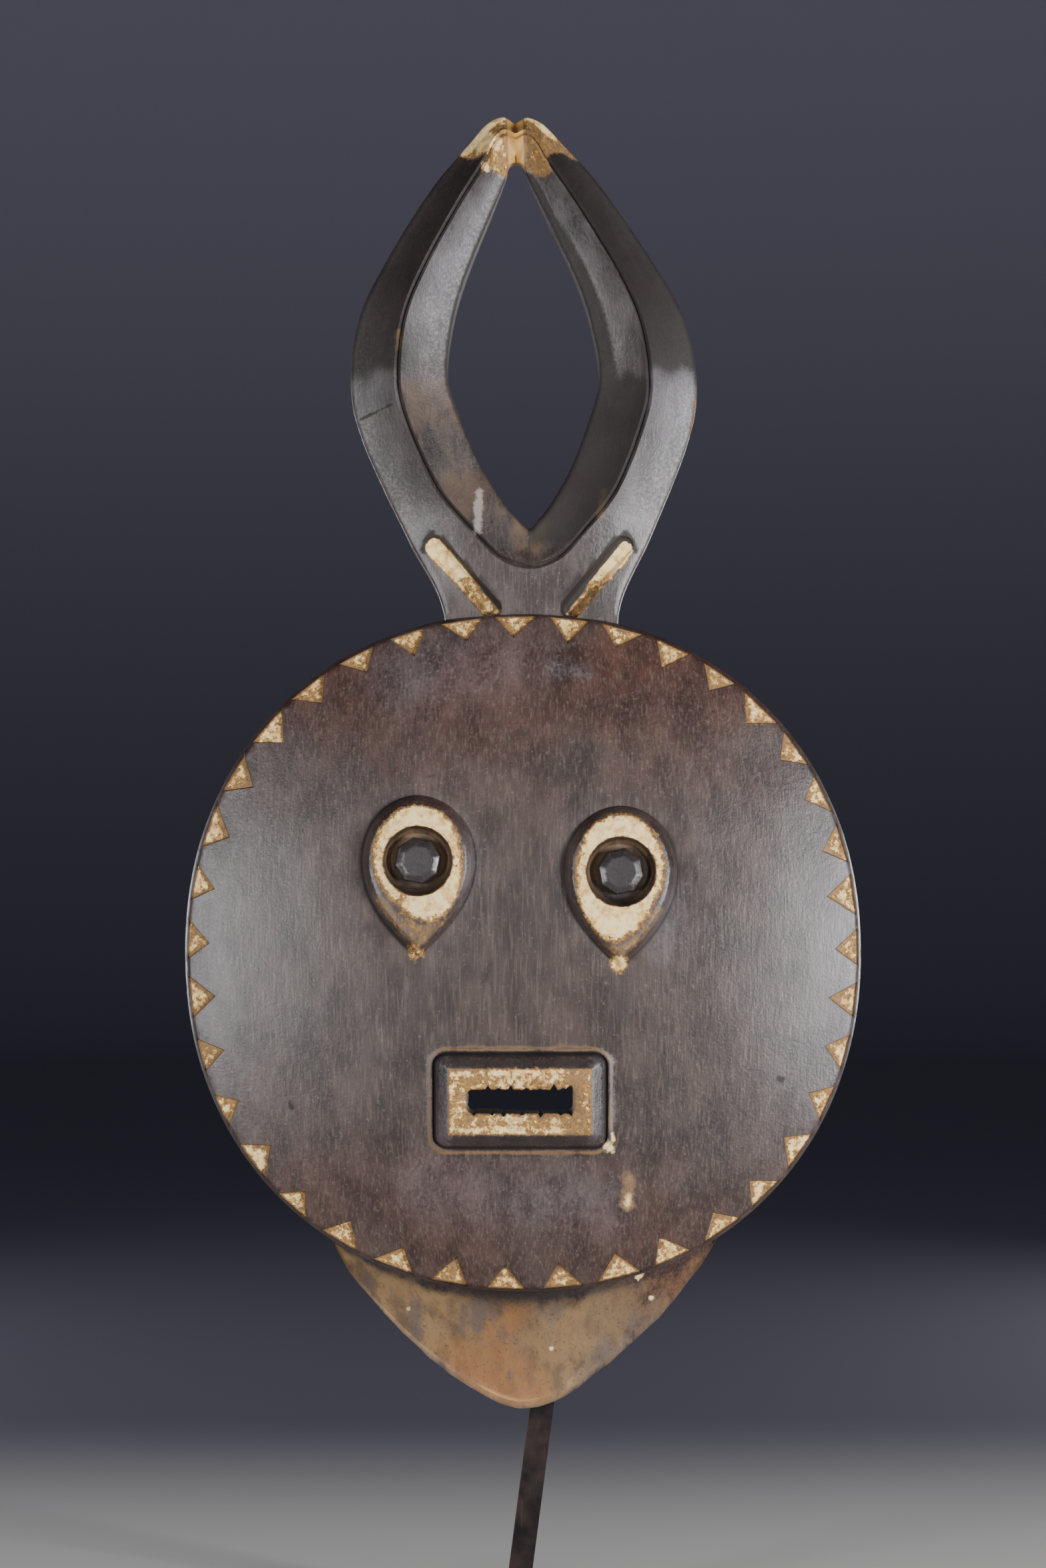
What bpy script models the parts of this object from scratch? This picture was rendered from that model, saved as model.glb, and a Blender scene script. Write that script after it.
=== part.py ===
"""A carved disc mask with two horns that meet, held up on a square steel bar set in a plate.

Metres, +Z up. The face looks along -Y and its right-hand side in the picture is +X.
The origin is the middle of the plate's underside.
Shapes on the mask are worked out about the disc's centre: x across, z up, and y back from the rim.
"""

import math
import random

import bmesh
import bpy
from mathutils import Vector

# Sizes of the disc.
DISC_WIDTH = 0.365
DISC_HEIGHT = 0.3665
DISC_SQUARENESS = 2.13
CROWN = 0.026
CROWN_POWER = 2.3
DISC_THICKNESS = 0.018
RIM_THICKNESS = 0.014
RIM_BEVEL = 0.0032

# Notches cut round the rim, point inwards.
NOTCH_COUNT = 38
NOTCH_REACH = 0.0148
NOTCH_WIDTH = 0.0225
NOTCH_DEPTH = 0.0016
NOTCH_UNEVENNESS = 0.16
NOTCH_TURN = math.radians(5.4)
NOTCH_DRIFT = math.radians(3.2)
NOTCH_DRIFT_FROM = math.radians(36)

# Eyes: a drop-shaped boss, a round moat sunk in it and a peg left standing in the moat.
EYE_SPACING = 0.1084
EYE_LIFT = 0.0472
EYE_SKEW = 0.0057
EYE_SHIFT = -0.0020
EYE_WIDTH = 0.061
EYE_RISE = 0.035
EYE_DROP = 0.0518
EYE_SHARPNESS = 2.0
EYE_RELIEF = 0.0065
EYE_SLOPE = 0.0055
MOAT_RADIUS = 0.0183
MOAT_DEPTH = 0.0100
PEG_RADIUS = 0.0114
PEG_BEVEL = 0.0028

# Mouth: a raised frame with a slot right through the disc.
MOUTH_WIDTH = 0.096
MOUTH_HEIGHT = 0.055
MOUTH_DROP = 0.0782
MOUTH_SHIFT = -0.0015
MOUTH_CORNER = 0.009
MOUTH_RELIEF = 0.0085
MOUTH_SLOPE = 0.0100
SLOT_WIDTH = 0.0565
SLOT_HEIGHT = 0.0126
SLOT_FLARE = 0.0030

# Hollow collar behind the disc, ending below in the chin.
COLLAR_WIDTH = 0.252
COLLAR_TOP = 0.140
COLLAR_WIDEST_DROP = 0.090
COLLAR_WALL = 0.012
COLLAR_DEPTH = 0.092
CHIN_DROP = 0.253
CHIN_WALL = 0.022
CHIN_DEPTH = 0.046
CHIN_SHARPNESS = 1.75
CHIN_BLUNTNESS = 0.45
CHIN_FLARE = 1.4
CHIN_TUCK = 0.006

# Horns, from the disc's top edge to the tips.
HORN_RISE = 0.2693
HORN_SPAN = 0.1876
HORN_SHIFT = 0.0045
HORN_LEAN = math.radians(1.9)
NECK_SETBACK = 0.003
KNEE_FORWARD = 0.010
FACET_DROP = 0.014
GROOVE_WIDTH = 0.0024
GROOVE_DEPTH = 0.0022
NECK_DEPTH = 0.047
TIP_DEPTH = 0.025
HORN_EDGE = 0.005

# Ears: two slots sunk in the foot of the horns.
EAR_WIDTH = 0.0100
EAR_DEPTH = 0.0026
EAR_SLOPE = math.radians(4.3)

# Stand.
ROD_SIDE = 0.013
ROD_PASS_X = 0.0104
ROD_TOP_X = 0.006
ROD_TOP_LEAN = math.radians(11.3)
ROD_LEAN = math.radians(7.4)
CHIN_LIFT = 0.103
FOOT_WIDTH = 0.220
FOOT_DEPTH = 0.170
FOOT_THICKNESS = 0.012
FOOT_BEVEL = 0.0012
SOCKET_FLOOR = 0.003
FOOT_SETBACK = 0.020
FIT_GAP = 0.0003
CHIN_CLEARANCE = 0.0010
SLOT_CLEARANCE = 0.0020

# Fineness of the surfaces.
DISC_SEGMENTS = 76
COLLAR_SEGMENTS = 44
EYE_SEGMENTS = 28
MOAT_SEGMENTS = 16
HORN_SPANS = 2
ROD_BENDS = 10
SHARP_FROM = math.radians(30)

# How far the cutters start in front of the surface that they cut.
CUTTER_REACH = 0.020

# Outline of the right horn from the neck's middle to the bridge between the tips, by hand.
# Each row: outer edge, ridge and inner edge as (x, z), and how far the edges fall back from the ridge.
# x is a share of half the span and z of the rise. The first two outer points follow the collar's roof.
HORN_ROWS = (
    ((0.000, None), (0.000, 0.095), (0.000, 0.169), 0.25),
    ((0.470, None), (0.171, 0.114), (0.064, 0.189), 0.30),
    ((0.501, -0.004), (0.330, 0.170), (0.160, 0.233), 0.45),
    ((0.709, 0.155), (0.512, 0.248), (0.272, 0.304), 0.80),
    ((0.933, 0.337), (0.666, 0.371), (0.400, 0.419), 1.00),
    ((1.000, 0.452), (0.723, 0.460), (0.439, 0.489), 1.00),
    ((0.944, 0.586), (0.682, 0.582), (0.389, 0.597), 1.00),
    ((0.768, 0.709), (0.560, 0.686), (0.299, 0.690), 0.95),
    ((0.480, 0.861), (0.352, 0.813), (0.149, 0.809), 0.85),
    ((0.277, 0.944), (0.190, 0.902), (0.064, 0.876), 0.70),
    ((0.162, 0.986), (0.120, 0.946), (0.046, 0.899), 0.55),
    ((0.070, 1.000), (0.060, 0.964), (0.022, 0.908), 0.50),
    ((0.000, 0.990), (0.000, 0.956), (0.000, 0.910), 0.80),
)
# Ends of each ear's centre line, as shares of half the span and of the rise.
EAR_TOP = (0.553, 0.136)
EAR_FOOT = (0.237, 0.008)

HALF_WIDTH = DISC_WIDTH / 2
HALF_HEIGHT = DISC_HEIGHT / 2
DISC_CENTRE = Vector((0, -FOOT_SETBACK, FOOT_THICKNESS + CHIN_LIFT + CHIN_DROP))


def clear_scene():
    for obj in list(bpy.data.objects):
        bpy.data.objects.remove(obj, do_unlink=True)


def make_collection(name, hidden=False):
    collection = bpy.data.collections.new(name)
    collection.hide_render = hidden
    bpy.context.scene.collection.children.link(collection)
    return collection


def make_material(name, colour, roughness, metallic=0.0):
    material = bpy.data.materials.new(name)
    material.use_nodes = True
    shader = material.node_tree.nodes["Principled BSDF"]
    shader.inputs["Base Color"].default_value = (*colour, 1)
    shader.inputs["Roughness"].default_value = roughness
    shader.inputs["Metallic"].default_value = metallic
    material.diffuse_color = (*colour, 1)
    return material


def make_object(name, mesh, collection, at=(0, 0, 0)):
    obj = bpy.data.objects.new(name, mesh)
    obj.location = at
    collection.objects.link(obj)
    return obj


def finished(name, shape):
    """The shape as a mesh of triangles facing out, smooth but for its corners."""
    bmesh.ops.triangulate(shape, faces=shape.faces)
    bmesh.ops.recalc_face_normals(shape, faces=shape.faces)
    mesh = bpy.data.meshes.new(name)
    shape.to_mesh(mesh)
    shape.free()
    mesh.shade_smooth()
    mesh.set_sharp_from_angle(angle=SHARP_FROM)
    return mesh


def loft(name, rings, closed=False):
    """Skins rings of equal length in order. Ends are capped, or the last ring joins the first."""
    shape = bmesh.new()
    rows = [[shape.verts.new(point) for point in ring] for ring in rings]
    pairs = list(zip(rows, rows[1:]))
    if closed:
        pairs.append((rows[-1], rows[0]))
    else:
        shape.faces.new(rows[0])
        shape.faces.new(rows[-1])
    for low, high in pairs:
        for i in range(len(low)):
            j = (i + 1) % len(low)
            shape.faces.new((low[i], low[j], high[j], high[i]))
    return finished(name, shape)


def smooth(points, before, after, per_span):
    """Points along a Catmull-Rom curve through the given ones. before and after lie past its ends."""
    controls = [Vector(before)] + [Vector(p) for p in points] + [Vector(after)]
    curve = []
    for i in range(1, len(controls) - 2):
        a, b, c, d = controls[i - 1 : i + 3]
        for step in range(per_span):
            t = step / per_span
            bend = (2 * a - 5 * b + 4 * c - d) * t * t + (3 * b - a - 3 * c + d) * t**3
            curve.append((2 * b + (c - a) * t + bend) / 2)
    return curve + [controls[-2]]


def powered(value, power):
    return math.copysign(abs(value) ** power, value)


def drop_outline(half_width, rise, drop, point, count, middle=(0, 0), blunt=0):
    """A round top over a drop that narrows to a point: point 1 is an ellipse, 2 is a sharp drop.

    blunt rounds the very end of the drop: it is the share of the half width where the rounding starts.
    """
    outline = []
    for i in range(count):
        turn = math.tau * i / count
        side, up = math.cos(turn), math.sin(turn)
        if up < 0:
            side *= ((side**2 + blunt**2) / (1 + blunt**2)) ** ((point - 1) / 2)
        height = rise if up >= 0 else drop
        outline.append((middle[0] + half_width * side, middle[1] + height * up))
    return outline


def rounded_box_outline(width, height, corner, middle, per_corner=3):
    outline = []
    for quarter in range(4):
        turn = quarter * math.pi / 2
        across = 1 if quarter in (0, 3) else -1
        up = 1 if quarter in (0, 1) else -1
        centre_x = middle[0] + across * (width / 2 - corner)
        centre_z = middle[1] + up * (height / 2 - corner)
        for step in range(per_corner + 1):
            angle = turn + step * math.pi / 2 / per_corner
            outline.append((centre_x + corner * math.cos(angle), centre_z + corner * math.sin(angle)))
    return outline


def height_on(outline, x, upper):
    """The z at which an outline's upper or lower side crosses x."""
    found = []
    for (x0, z0), (x1, z1) in zip(outline, outline[1:] + outline[:1]):
        if x0 != x1 and min(x0, x1) <= x <= max(x0, x1):
            found.append(z0 + (z1 - z0) * (x - x0) / (x1 - x0))
    return max(found) if upper else min(found)


def share_of_disc(x, z):
    """0 at the disc's centre and 1 on its outline."""
    wide = abs(x / HALF_WIDTH) ** DISC_SQUARENESS
    tall = abs(z / HALF_HEIGHT) ** DISC_SQUARENESS
    return (wide + tall) ** (1 / DISC_SQUARENESS)


def front_y(x, z):
    """The domed front of the disc, 0 at its edge and negative where it stands forward."""
    return -CROWN * (1 - min(1.0, share_of_disc(x, z)) ** CROWN_POWER)


def back_y(x, z):
    share = min(1.0, share_of_disc(x, z))
    return front_y(x, z) + DISC_THICKNESS + (RIM_THICKNESS - DISC_THICKNESS) * share**2


def on_front(outline, offset):
    """The outline laid on the disc's front, moved back by offset."""
    return [(x, front_y(x, z) + offset, z) for x, z in outline]


def disc_outline(scale):
    outline = []
    for i in range(DISC_SEGMENTS):
        turn = math.tau * i / DISC_SEGMENTS
        x = scale * HALF_WIDTH * powered(math.cos(turn), 2 / DISC_SQUARENESS)
        z = scale * HALF_HEIGHT * powered(math.sin(turn), 2 / DISC_SQUARENESS)
        outline.append((x, z))
    return outline


def disc_mesh():
    edge = 1 - RIM_BEVEL / HALF_WIDTH
    rings = []
    for scale in (0.14, 0.32, 0.48, 0.63, 0.76, 0.87, edge):
        rings.append(on_front(disc_outline(scale), 0))
    rings.append([(x, RIM_BEVEL, z) for x, z in disc_outline(1)])
    rings.append([(x, RIM_THICKNESS - RIM_BEVEL, z) for x, z in disc_outline(1)])
    for scale in (edge, 0.82, 0.60, 0.36, 0.14):
        rings.append([(x, back_y(x, z), z) for x, z in disc_outline(scale)])
    return loft("disc", rings)


def collar_rim_y(z):
    """The collar's back edge lies on one slanted plane, shallow at the chin and deep at the top."""
    share = (z + CHIN_DROP) / (COLLAR_TOP + CHIN_DROP)
    return CHIN_DEPTH + (COLLAR_DEPTH - CHIN_DEPTH) * share


def collar_outline(depth, inside):
    """Outline at a share of the depth. The chin flares as it goes back."""
    side = COLLAR_WALL if inside else 0
    bottom = CHIN_WALL if inside else 0
    chin = HALF_HEIGHT - CHIN_TUCK
    chin += (CHIN_DROP - chin) * depth**CHIN_FLARE
    return drop_outline(
        COLLAR_WIDTH / 2 - side,
        COLLAR_TOP + COLLAR_WIDEST_DROP - side,
        chin - bottom - COLLAR_WIDEST_DROP,
        CHIN_SHARPNESS,
        COLLAR_SEGMENTS,
        (0, -COLLAR_WIDEST_DROP),
        CHIN_BLUNTNESS,
    )


def collar_ring(depth, inside):
    """One ring of the collar's wall. It starts inside the disc's wood, half way through."""
    ring = []
    for x, z in collar_outline(depth, inside):
        start = (front_y(x, z) + back_y(x, z)) / 2
        ring.append((x, start + (collar_rim_y(z) - start) * depth, z))
    return ring


def collar_mesh():
    depths = (0, 0.25, 0.5, 0.75, 1)
    outside = [collar_ring(depth, False) for depth in depths]
    inside = [collar_ring(depth, True) for depth in reversed(depths)]
    return loft("collar", outside + inside, closed=True)


def collar_roof_z(x):
    """Half way through the wall of the collar's roof."""
    half = COLLAR_WIDTH / 2 - COLLAR_WALL / 2
    rise = COLLAR_TOP + COLLAR_WIDEST_DROP - COLLAR_WALL / 2
    return -COLLAR_WIDEST_DROP + rise * math.sqrt(1 - (x / half) ** 2)


def horn_point(share):
    x, z = share
    x *= HORN_SPAN / 2
    if z is None:
        return Vector((x, collar_roof_z(x)))
    return Vector((x, HALF_HEIGHT + HORN_RISE * z))


def mirrored(point):
    return Vector((-point.x, point.y))


def horn_paths():
    """Outer edge, ridge and inner edge of the right half, and the fall of the edges at each station."""
    outer, ridge, inner = ([horn_point(row[k]) for row in HORN_ROWS] for k in range(3))
    root = []
    for a, b in zip(outer[:2], outer[1:3]):
        root += [a.lerp(b, step / HORN_SPANS) for step in range(HORN_SPANS)]
    outer_path = root + smooth(outer[2:], outer[1], mirrored(outer[-2]), HORN_SPANS)
    ridge_path, inner_path = (
        smooth(path, mirrored(path[1]), mirrored(path[-2]), HORN_SPANS) for path in (ridge, inner)
    )
    falls = []
    for a, b in zip(HORN_ROWS, HORN_ROWS[1:]):
        falls += [a[3] + (b[3] - a[3]) * step / HORN_SPANS for step in range(HORN_SPANS)]
    return outer_path, ridge_path, inner_path, falls + [HORN_ROWS[-1][3]]


def lean(x, z):
    """The horns stand a little to the right at the neck and lean to the left going up."""
    return x + HORN_SHIFT - math.tan(HORN_LEAN) * (z - HALF_HEIGHT)


def horn_rise_share(z):
    return max(0.0, min(1.0, (z - HALF_HEIGHT) / HORN_RISE))


def horn_ridge_y(z):
    return NECK_SETBACK - KNEE_FORWARD * math.sin(math.pi * horn_rise_share(z))


def horn_section(outer, ridge, inner, fall, side):
    """Two facets that fall back from a grooved ridge, two side walls and an eased back."""
    top = horn_ridge_y(ridge.y)
    back = NECK_SETBACK + NECK_DEPTH + (TIP_DEPTH - NECK_DEPTH) * horn_rise_share(ridge.y)
    edge_y = top + FACET_DROP * fall
    outward = (outer - ridge).normalized() * GROOVE_WIDTH / 2
    inward = (inner - ridge).normalized() * GROOVE_WIDTH / 2
    across = (inner - outer).normalized() * HORN_EDGE
    profile = (
        (outer, edge_y),
        (outer.lerp(ridge, 0.5), (top + edge_y) / 2 - GROOVE_DEPTH / 2),
        (ridge + outward, top),
        (ridge, top + GROOVE_DEPTH),
        (ridge + inward, top),
        (inner, edge_y),
        (inner, back - HORN_EDGE),
        (inner - across, back),
        (outer + across, back),
        (outer, back - HORN_EDGE),
    )
    return [(lean(side * p.x, p.y), y, p.y) for p, y in profile]


def horns_mesh():
    stations = list(zip(*horn_paths()))
    right = [horn_section(*station, 1) for station in stations]
    left = [horn_section(*station, -1) for station in reversed(stations[1:-1])]
    return loft("horns", right + left, closed=True)


def eye_middle(side):
    return (side * EYE_SPACING / 2 + EYE_SHIFT, EYE_LIFT - side * EYE_SKEW / 2)


def eye_outline(inset, side):
    """The boss's drop, drawn in on every side by inset, and more at its point."""
    return drop_outline(
        EYE_WIDTH / 2 - inset,
        EYE_RISE - inset,
        EYE_DROP - inset * EYE_DROP / EYE_RISE,
        EYE_SHARPNESS,
        EYE_SEGMENTS,
        eye_middle(side),
    )


def eye_mesh(side):
    buried = DISC_THICKNESS / 3
    foot_inset = -EYE_SLOPE * buried / (EYE_RELIEF + buried)
    foot = on_front(eye_outline(foot_inset, side), buried)
    crest = on_front(eye_outline(EYE_SLOPE, side), -EYE_RELIEF)
    return loft("eye", [foot, crest])


def moat_mesh(side):
    """The hollow round the peg, as a cutter with the peg's own shape left out of it."""
    middle = eye_middle(side)
    floor = MOAT_DEPTH - EYE_RELIEF
    taper = PEG_BEVEL / 2
    steps = (
        (MOAT_RADIUS + taper, -CUTTER_REACH),
        (MOAT_RADIUS, -EYE_RELIEF),
        (MOAT_RADIUS - taper, floor),
        (PEG_RADIUS, floor),
        (PEG_RADIUS, -EYE_RELIEF / 2),
        (PEG_RADIUS - PEG_BEVEL, -EYE_RELIEF),
    )
    rings = []
    for radius, y in steps:
        rings.append(on_front(drop_outline(radius, radius, radius, 1, MOAT_SEGMENTS, middle), y))
    return loft("moat", rings)


def mouth_middle():
    return (MOUTH_SHIFT, -MOUTH_DROP)


def mouth_outline(inset):
    corner = max(MOUTH_CORNER - inset / 2, MOUTH_CORNER / 3)
    return rounded_box_outline(MOUTH_WIDTH - 2 * inset, MOUTH_HEIGHT - 2 * inset, corner, mouth_middle())


def mouth_mesh():
    buried = DISC_THICKNESS / 3
    foot_inset = -MOUTH_SLOPE * buried / (MOUTH_RELIEF + buried)
    foot = on_front(mouth_outline(foot_inset), buried)
    crest = on_front(mouth_outline(MOUTH_SLOPE), -MOUTH_RELIEF)
    return loft("mouth", [foot, crest])


def slot_outline(grow):
    corner = SLOT_HEIGHT / 4 + grow
    return rounded_box_outline(SLOT_WIDTH + 2 * grow, SLOT_HEIGHT + 2 * grow, corner, mouth_middle())


def slot_mesh():
    steps = (
        (SLOT_FLARE, -CUTTER_REACH),
        (SLOT_FLARE, -MOUTH_RELIEF),
        (0, SLOT_FLARE - MOUTH_RELIEF),
        (0, DISC_THICKNESS + CUTTER_REACH),
    )
    return loft("slot", [on_front(slot_outline(grow), y) for grow, y in steps])


def notch_corners(index, chance):
    """The three corners of one rim notch: two on the rim's edge and one towards the centre."""
    even = math.tau * index / NOTCH_COUNT
    turn = even + NOTCH_TURN + NOTCH_DRIFT * math.cos(even + NOTCH_DRIFT_FROM)
    reach = NOTCH_REACH * (1 + NOTCH_UNEVENNESS * chance.uniform(-1, 1))
    half = NOTCH_WIDTH / 2 / HALF_WIDTH * (1 + NOTCH_UNEVENNESS * chance.uniform(-1, 1))
    tip = turn + half * NOTCH_UNEVENNESS * chance.uniform(-1, 1)
    corners = []
    for angle, inset in ((turn - half, RIM_BEVEL / 2), (turn + half, RIM_BEVEL / 2), (tip, reach)):
        across, up = math.sin(angle), math.cos(angle)
        radius = 1 / share_of_disc(across, up) - inset
        corners.append((radius * across, radius * up))
    return corners


def notches_mesh():
    """All the rim's notches as one cutter of separate three-sided blocks."""
    chance = random.Random(38)
    shape = bmesh.new()
    for index in range(NOTCH_COUNT):
        corners = notch_corners(index, chance)
        outer = [shape.verts.new((x, front_y(x, z) - CUTTER_REACH, z)) for x, z in corners]
        floor = [shape.verts.new((x, front_y(x, z) + NOTCH_DEPTH, z)) for x, z in corners]
        shape.faces.new(outer)
        shape.faces.new(floor)
        for i in range(3):
            j = (i + 1) % 3
            shape.faces.new((outer[i], outer[j], floor[j], floor[i]))
    return finished("notches", shape)


def ear_mesh(side):
    """A long slot with round ends, sunk to one depth below the horn's sloping front."""
    top, foot = (horn_point(share) for share in (EAR_TOP, EAR_FOOT))
    along = (top - foot).normalized()
    across = Vector((-along.y, along.x)) * EAR_WIDTH / 2
    rings = [[], []]
    for end, start in ((top, 0), (foot, math.pi)):
        for step in range(7):
            turn = start + math.pi * step / 6
            point = end + across * math.cos(turn) + along * EAR_WIDTH / 2 * math.sin(turn)
            surface = horn_ridge_y(point.y) + math.tan(EAR_SLOPE) * abs(point.x)
            x = lean(side * point.x, point.y)
            rings[0].append((x, -CUTTER_REACH, point.y))
            rings[1].append((x, surface + EAR_DEPTH, point.y))
    return loft("ear", rings)


def combine(obj, operation, name, mesh, cutters):
    """Joins a shape to the object, or carves it out, with the shape kept as a hidden helper."""
    helper = make_object(name, mesh, cutters, obj.location)
    helper.hide_render = True
    helper.display_type = "WIRE"
    boolean = obj.modifiers.new(name, "BOOLEAN")
    boolean.operation = operation
    boolean.solver = "EXACT"
    boolean.object = helper
    return helper


def build_mask(parts, cutters, wood):
    mask = make_object("mask", disc_mesh(), parts, DISC_CENTRE)
    mask.data.materials.append(wood)
    combine(mask, "UNION", "collar", collar_mesh(), cutters)
    horns = combine(mask, "UNION", "horns", horns_mesh(), cutters)
    combine(mask, "UNION", "mouth_frame", mouth_mesh(), cutters)
    combine(mask, "DIFFERENCE", "mouth_slot", slot_mesh(), cutters)
    for word, side in (("left", -1), ("right", 1)):
        combine(mask, "UNION", f"{word}_eye", eye_mesh(side), cutters)
        combine(mask, "DIFFERENCE", f"{word}_moat", moat_mesh(side), cutters)
        combine(horns, "DIFFERENCE", f"{word}_ear", ear_mesh(side), cutters)
    combine(mask, "DIFFERENCE", "rim_notches", notches_mesh(), cutters)
    return mask


def rod_front_y():
    """The bar clears the chin's back edge where it crosses it, at the bar's right-hand side."""
    inner = collar_outline(1, True)
    crossing = height_on(inner, ROD_PASS_X + ROD_SIDE, upper=False)
    return collar_rim_y(crossing) + CHIN_CLEARANCE


def rod_centres():
    """Middle of the bar at each height: upright in its socket, leaning past the slot, bending back."""
    slot_x, slot_z = mouth_middle()
    side = (slot_x + SLOT_WIDTH / 2 + ROD_SIDE / 2 + SLOT_CLEARANCE, slot_z)
    slope = (side[0] - ROD_PASS_X) / (side[1] + CHIN_DROP)
    foot_top = -CHIN_DROP - CHIN_LIFT
    foot_x = ROD_PASS_X - math.tan(ROD_LEAN) * CHIN_LIFT
    roof = collar_outline(1, True)
    top_z = min(height_on(roof, ROD_TOP_X + edge * ROD_SIDE / 2, upper=True) for edge in (-1, 1))
    top_z -= FIT_GAP
    centres = [(foot_x, foot_top - FOOT_THICKNESS + SOCKET_FLOOR + FIT_GAP), (foot_x, foot_top)]
    centres.append((ROD_PASS_X, -CHIN_DROP))
    rise = top_z - side[1]
    for step in range(ROD_BENDS + 1):
        t = step / ROD_BENDS
        start = (2 * t**3 - 3 * t**2 + 1) * side[0] + (t**3 - 2 * t**2 + t) * rise * slope
        end = (3 * t**2 - 2 * t**3) * ROD_TOP_X - (t**3 - t**2) * rise * math.tan(ROD_TOP_LEAN)
        centres.append((start + end, side[1] + t * rise))
    return centres


def build_rod(parts, steel):
    half = ROD_SIDE / 2
    middle_y = rod_front_y() + half
    rings = []
    for x, z in rod_centres():
        corners = ((-half, -half), (half, -half), (half, half), (-half, half))
        rings.append([(x + dx, middle_y + dy, z) for dx, dy in corners])
    rod = make_object("stand_rod", loft("stand_rod", rings), parts, DISC_CENTRE)
    rod.data.materials.append(steel)
    return rod


def build_foot(parts, cutters, steel):
    bpy.ops.mesh.primitive_cube_add(size=1, location=(0, 0, FOOT_THICKNESS / 2))
    foot = bpy.context.object
    foot.name = "stand_foot"
    foot.dimensions = (FOOT_WIDTH, FOOT_DEPTH, FOOT_THICKNESS)
    bpy.ops.object.transform_apply(location=False, rotation=False, scale=True)
    foot.users_collection[0].objects.unlink(foot)
    parts.objects.link(foot)
    foot.data.materials.append(steel)
    bevel = foot.modifiers.new("edges", "BEVEL")
    bevel.width = FOOT_BEVEL
    bevel.segments = 1
    half = ROD_SIDE / 2 + FIT_GAP
    socket_x = rod_centres()[0][0]
    socket_y = DISC_CENTRE.y + rod_front_y() + ROD_SIDE / 2
    corners = ((-half, -half), (half, -half), (half, half), (-half, half))
    heights = (SOCKET_FLOOR, 2 * FOOT_THICKNESS)
    rings = [[(socket_x + dx, socket_y + dy, z) for dx, dy in corners] for z in heights]
    socket = make_object("socket", loft("socket", rings), cutters)
    socket.hide_render = True
    socket.display_type = "WIRE"
    cut = foot.modifiers.new("socket", "BOOLEAN")
    cut.operation = "DIFFERENCE"
    cut.solver = "EXACT"
    cut.object = socket
    return foot


def main():
    clear_scene()
    parts = make_collection("goli_mask")
    cutters = make_collection("cutters", hidden=True)
    wood = make_material("dark_carved_wood", (0.085, 0.060, 0.048), 0.45)
    steel = make_material("blackened_steel", (0.030, 0.025, 0.024), 0.5, 1.0)
    plate = make_material("blackened_plate", (0.025, 0.023, 0.024), 0.55, 1.0)
    for obj in (
        build_mask(parts, cutters, wood),
        build_rod(parts, steel),
        build_foot(parts, cutters, plate),
    ):
        print(obj.name)


main()
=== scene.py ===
# %% [markdown]
# A carved disc mask on its stand.
#
# The real mask is cut from one block of wood. A domed disc carries two raised eyes and a raised mouth
# with a slot right through it. Behind the disc stands a hollow collar, whose lower end shows as a
# narrow chin. Two horns rise from the top edge and meet at their tips. A square steel bar, set in a
# steel plate, holds the mask up.
#
# The imported model gives the place and the size of each piece. This file carves the mask again as a
# much finer mesh, with its tool marks, and then gives every surface its paint, wax, dirt and wear, with
# some sheen and shade painted into the colour as well.

# %% Load the imported model
import math
import random

import bmesh
import bpy
import numpy as np
from mathutils import Matrix, Vector, kdtree, noise
from mathutils.geometry import delaunay_2d_cdt


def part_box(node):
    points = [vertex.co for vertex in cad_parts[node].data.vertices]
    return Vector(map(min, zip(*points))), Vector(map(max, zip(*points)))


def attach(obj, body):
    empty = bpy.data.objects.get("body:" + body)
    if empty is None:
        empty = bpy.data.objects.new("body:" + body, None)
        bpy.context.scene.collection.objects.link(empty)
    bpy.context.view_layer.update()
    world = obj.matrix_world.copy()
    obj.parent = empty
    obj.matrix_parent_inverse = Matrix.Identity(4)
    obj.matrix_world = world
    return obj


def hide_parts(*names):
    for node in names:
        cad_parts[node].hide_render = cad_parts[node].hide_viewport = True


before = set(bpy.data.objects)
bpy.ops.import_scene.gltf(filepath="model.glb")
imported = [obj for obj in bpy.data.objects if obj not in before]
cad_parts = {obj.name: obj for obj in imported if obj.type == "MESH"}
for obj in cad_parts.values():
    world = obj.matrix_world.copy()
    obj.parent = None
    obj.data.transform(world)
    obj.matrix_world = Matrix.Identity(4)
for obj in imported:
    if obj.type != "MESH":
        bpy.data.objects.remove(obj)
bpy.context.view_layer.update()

print("nodes:", ", ".join(sorted(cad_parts)))

# %% [markdown]
# One place to measure from.
#
# Every shape on the mask is easiest to think of from the middle of the disc: x to the right, z up, and
# y back from the plane of the rim. The fine mesh is worked out there and moved into place at the end.
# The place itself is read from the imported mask: its lowest point is the tip of the chin.

# %% Where the disc's middle is
MASK_LOW, MASK_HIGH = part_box("mask")
CHIN_DROP = 0.253
DISC_SETBACK = 0.020
MIDDLE = Vector((0, -DISC_SETBACK, MASK_LOW.z + CHIN_DROP))
DISC_WIDTH = MASK_HIGH.x - MASK_LOW.x
print("disc", round(DISC_WIDTH * 1000), "mm wide, its middle", round(MIDDLE.z * 1000), "mm up")

# %% [markdown]
# The dome of the disc.
#
# The disc isn't quite a circle: it is a little squarer, as hand-cut rounds often are. A "superellipse"
# gives that with one number. Its share is 0 in the middle and 1 on the edge, so one formula draws the
# outline, the dome and every ring between them.

# %% The disc's outline and dome
DISC_HEIGHT = 0.3665
SQUARENESS = 2.13
CROWN = 0.026
CROWN_POWER = 2.3
DISC_THICKNESS = 0.018
RIM_THICKNESS = 0.014
RIM_BEVEL = 0.0032
HALF = np.array((DISC_WIDTH, DISC_HEIGHT)) / 2


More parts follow.
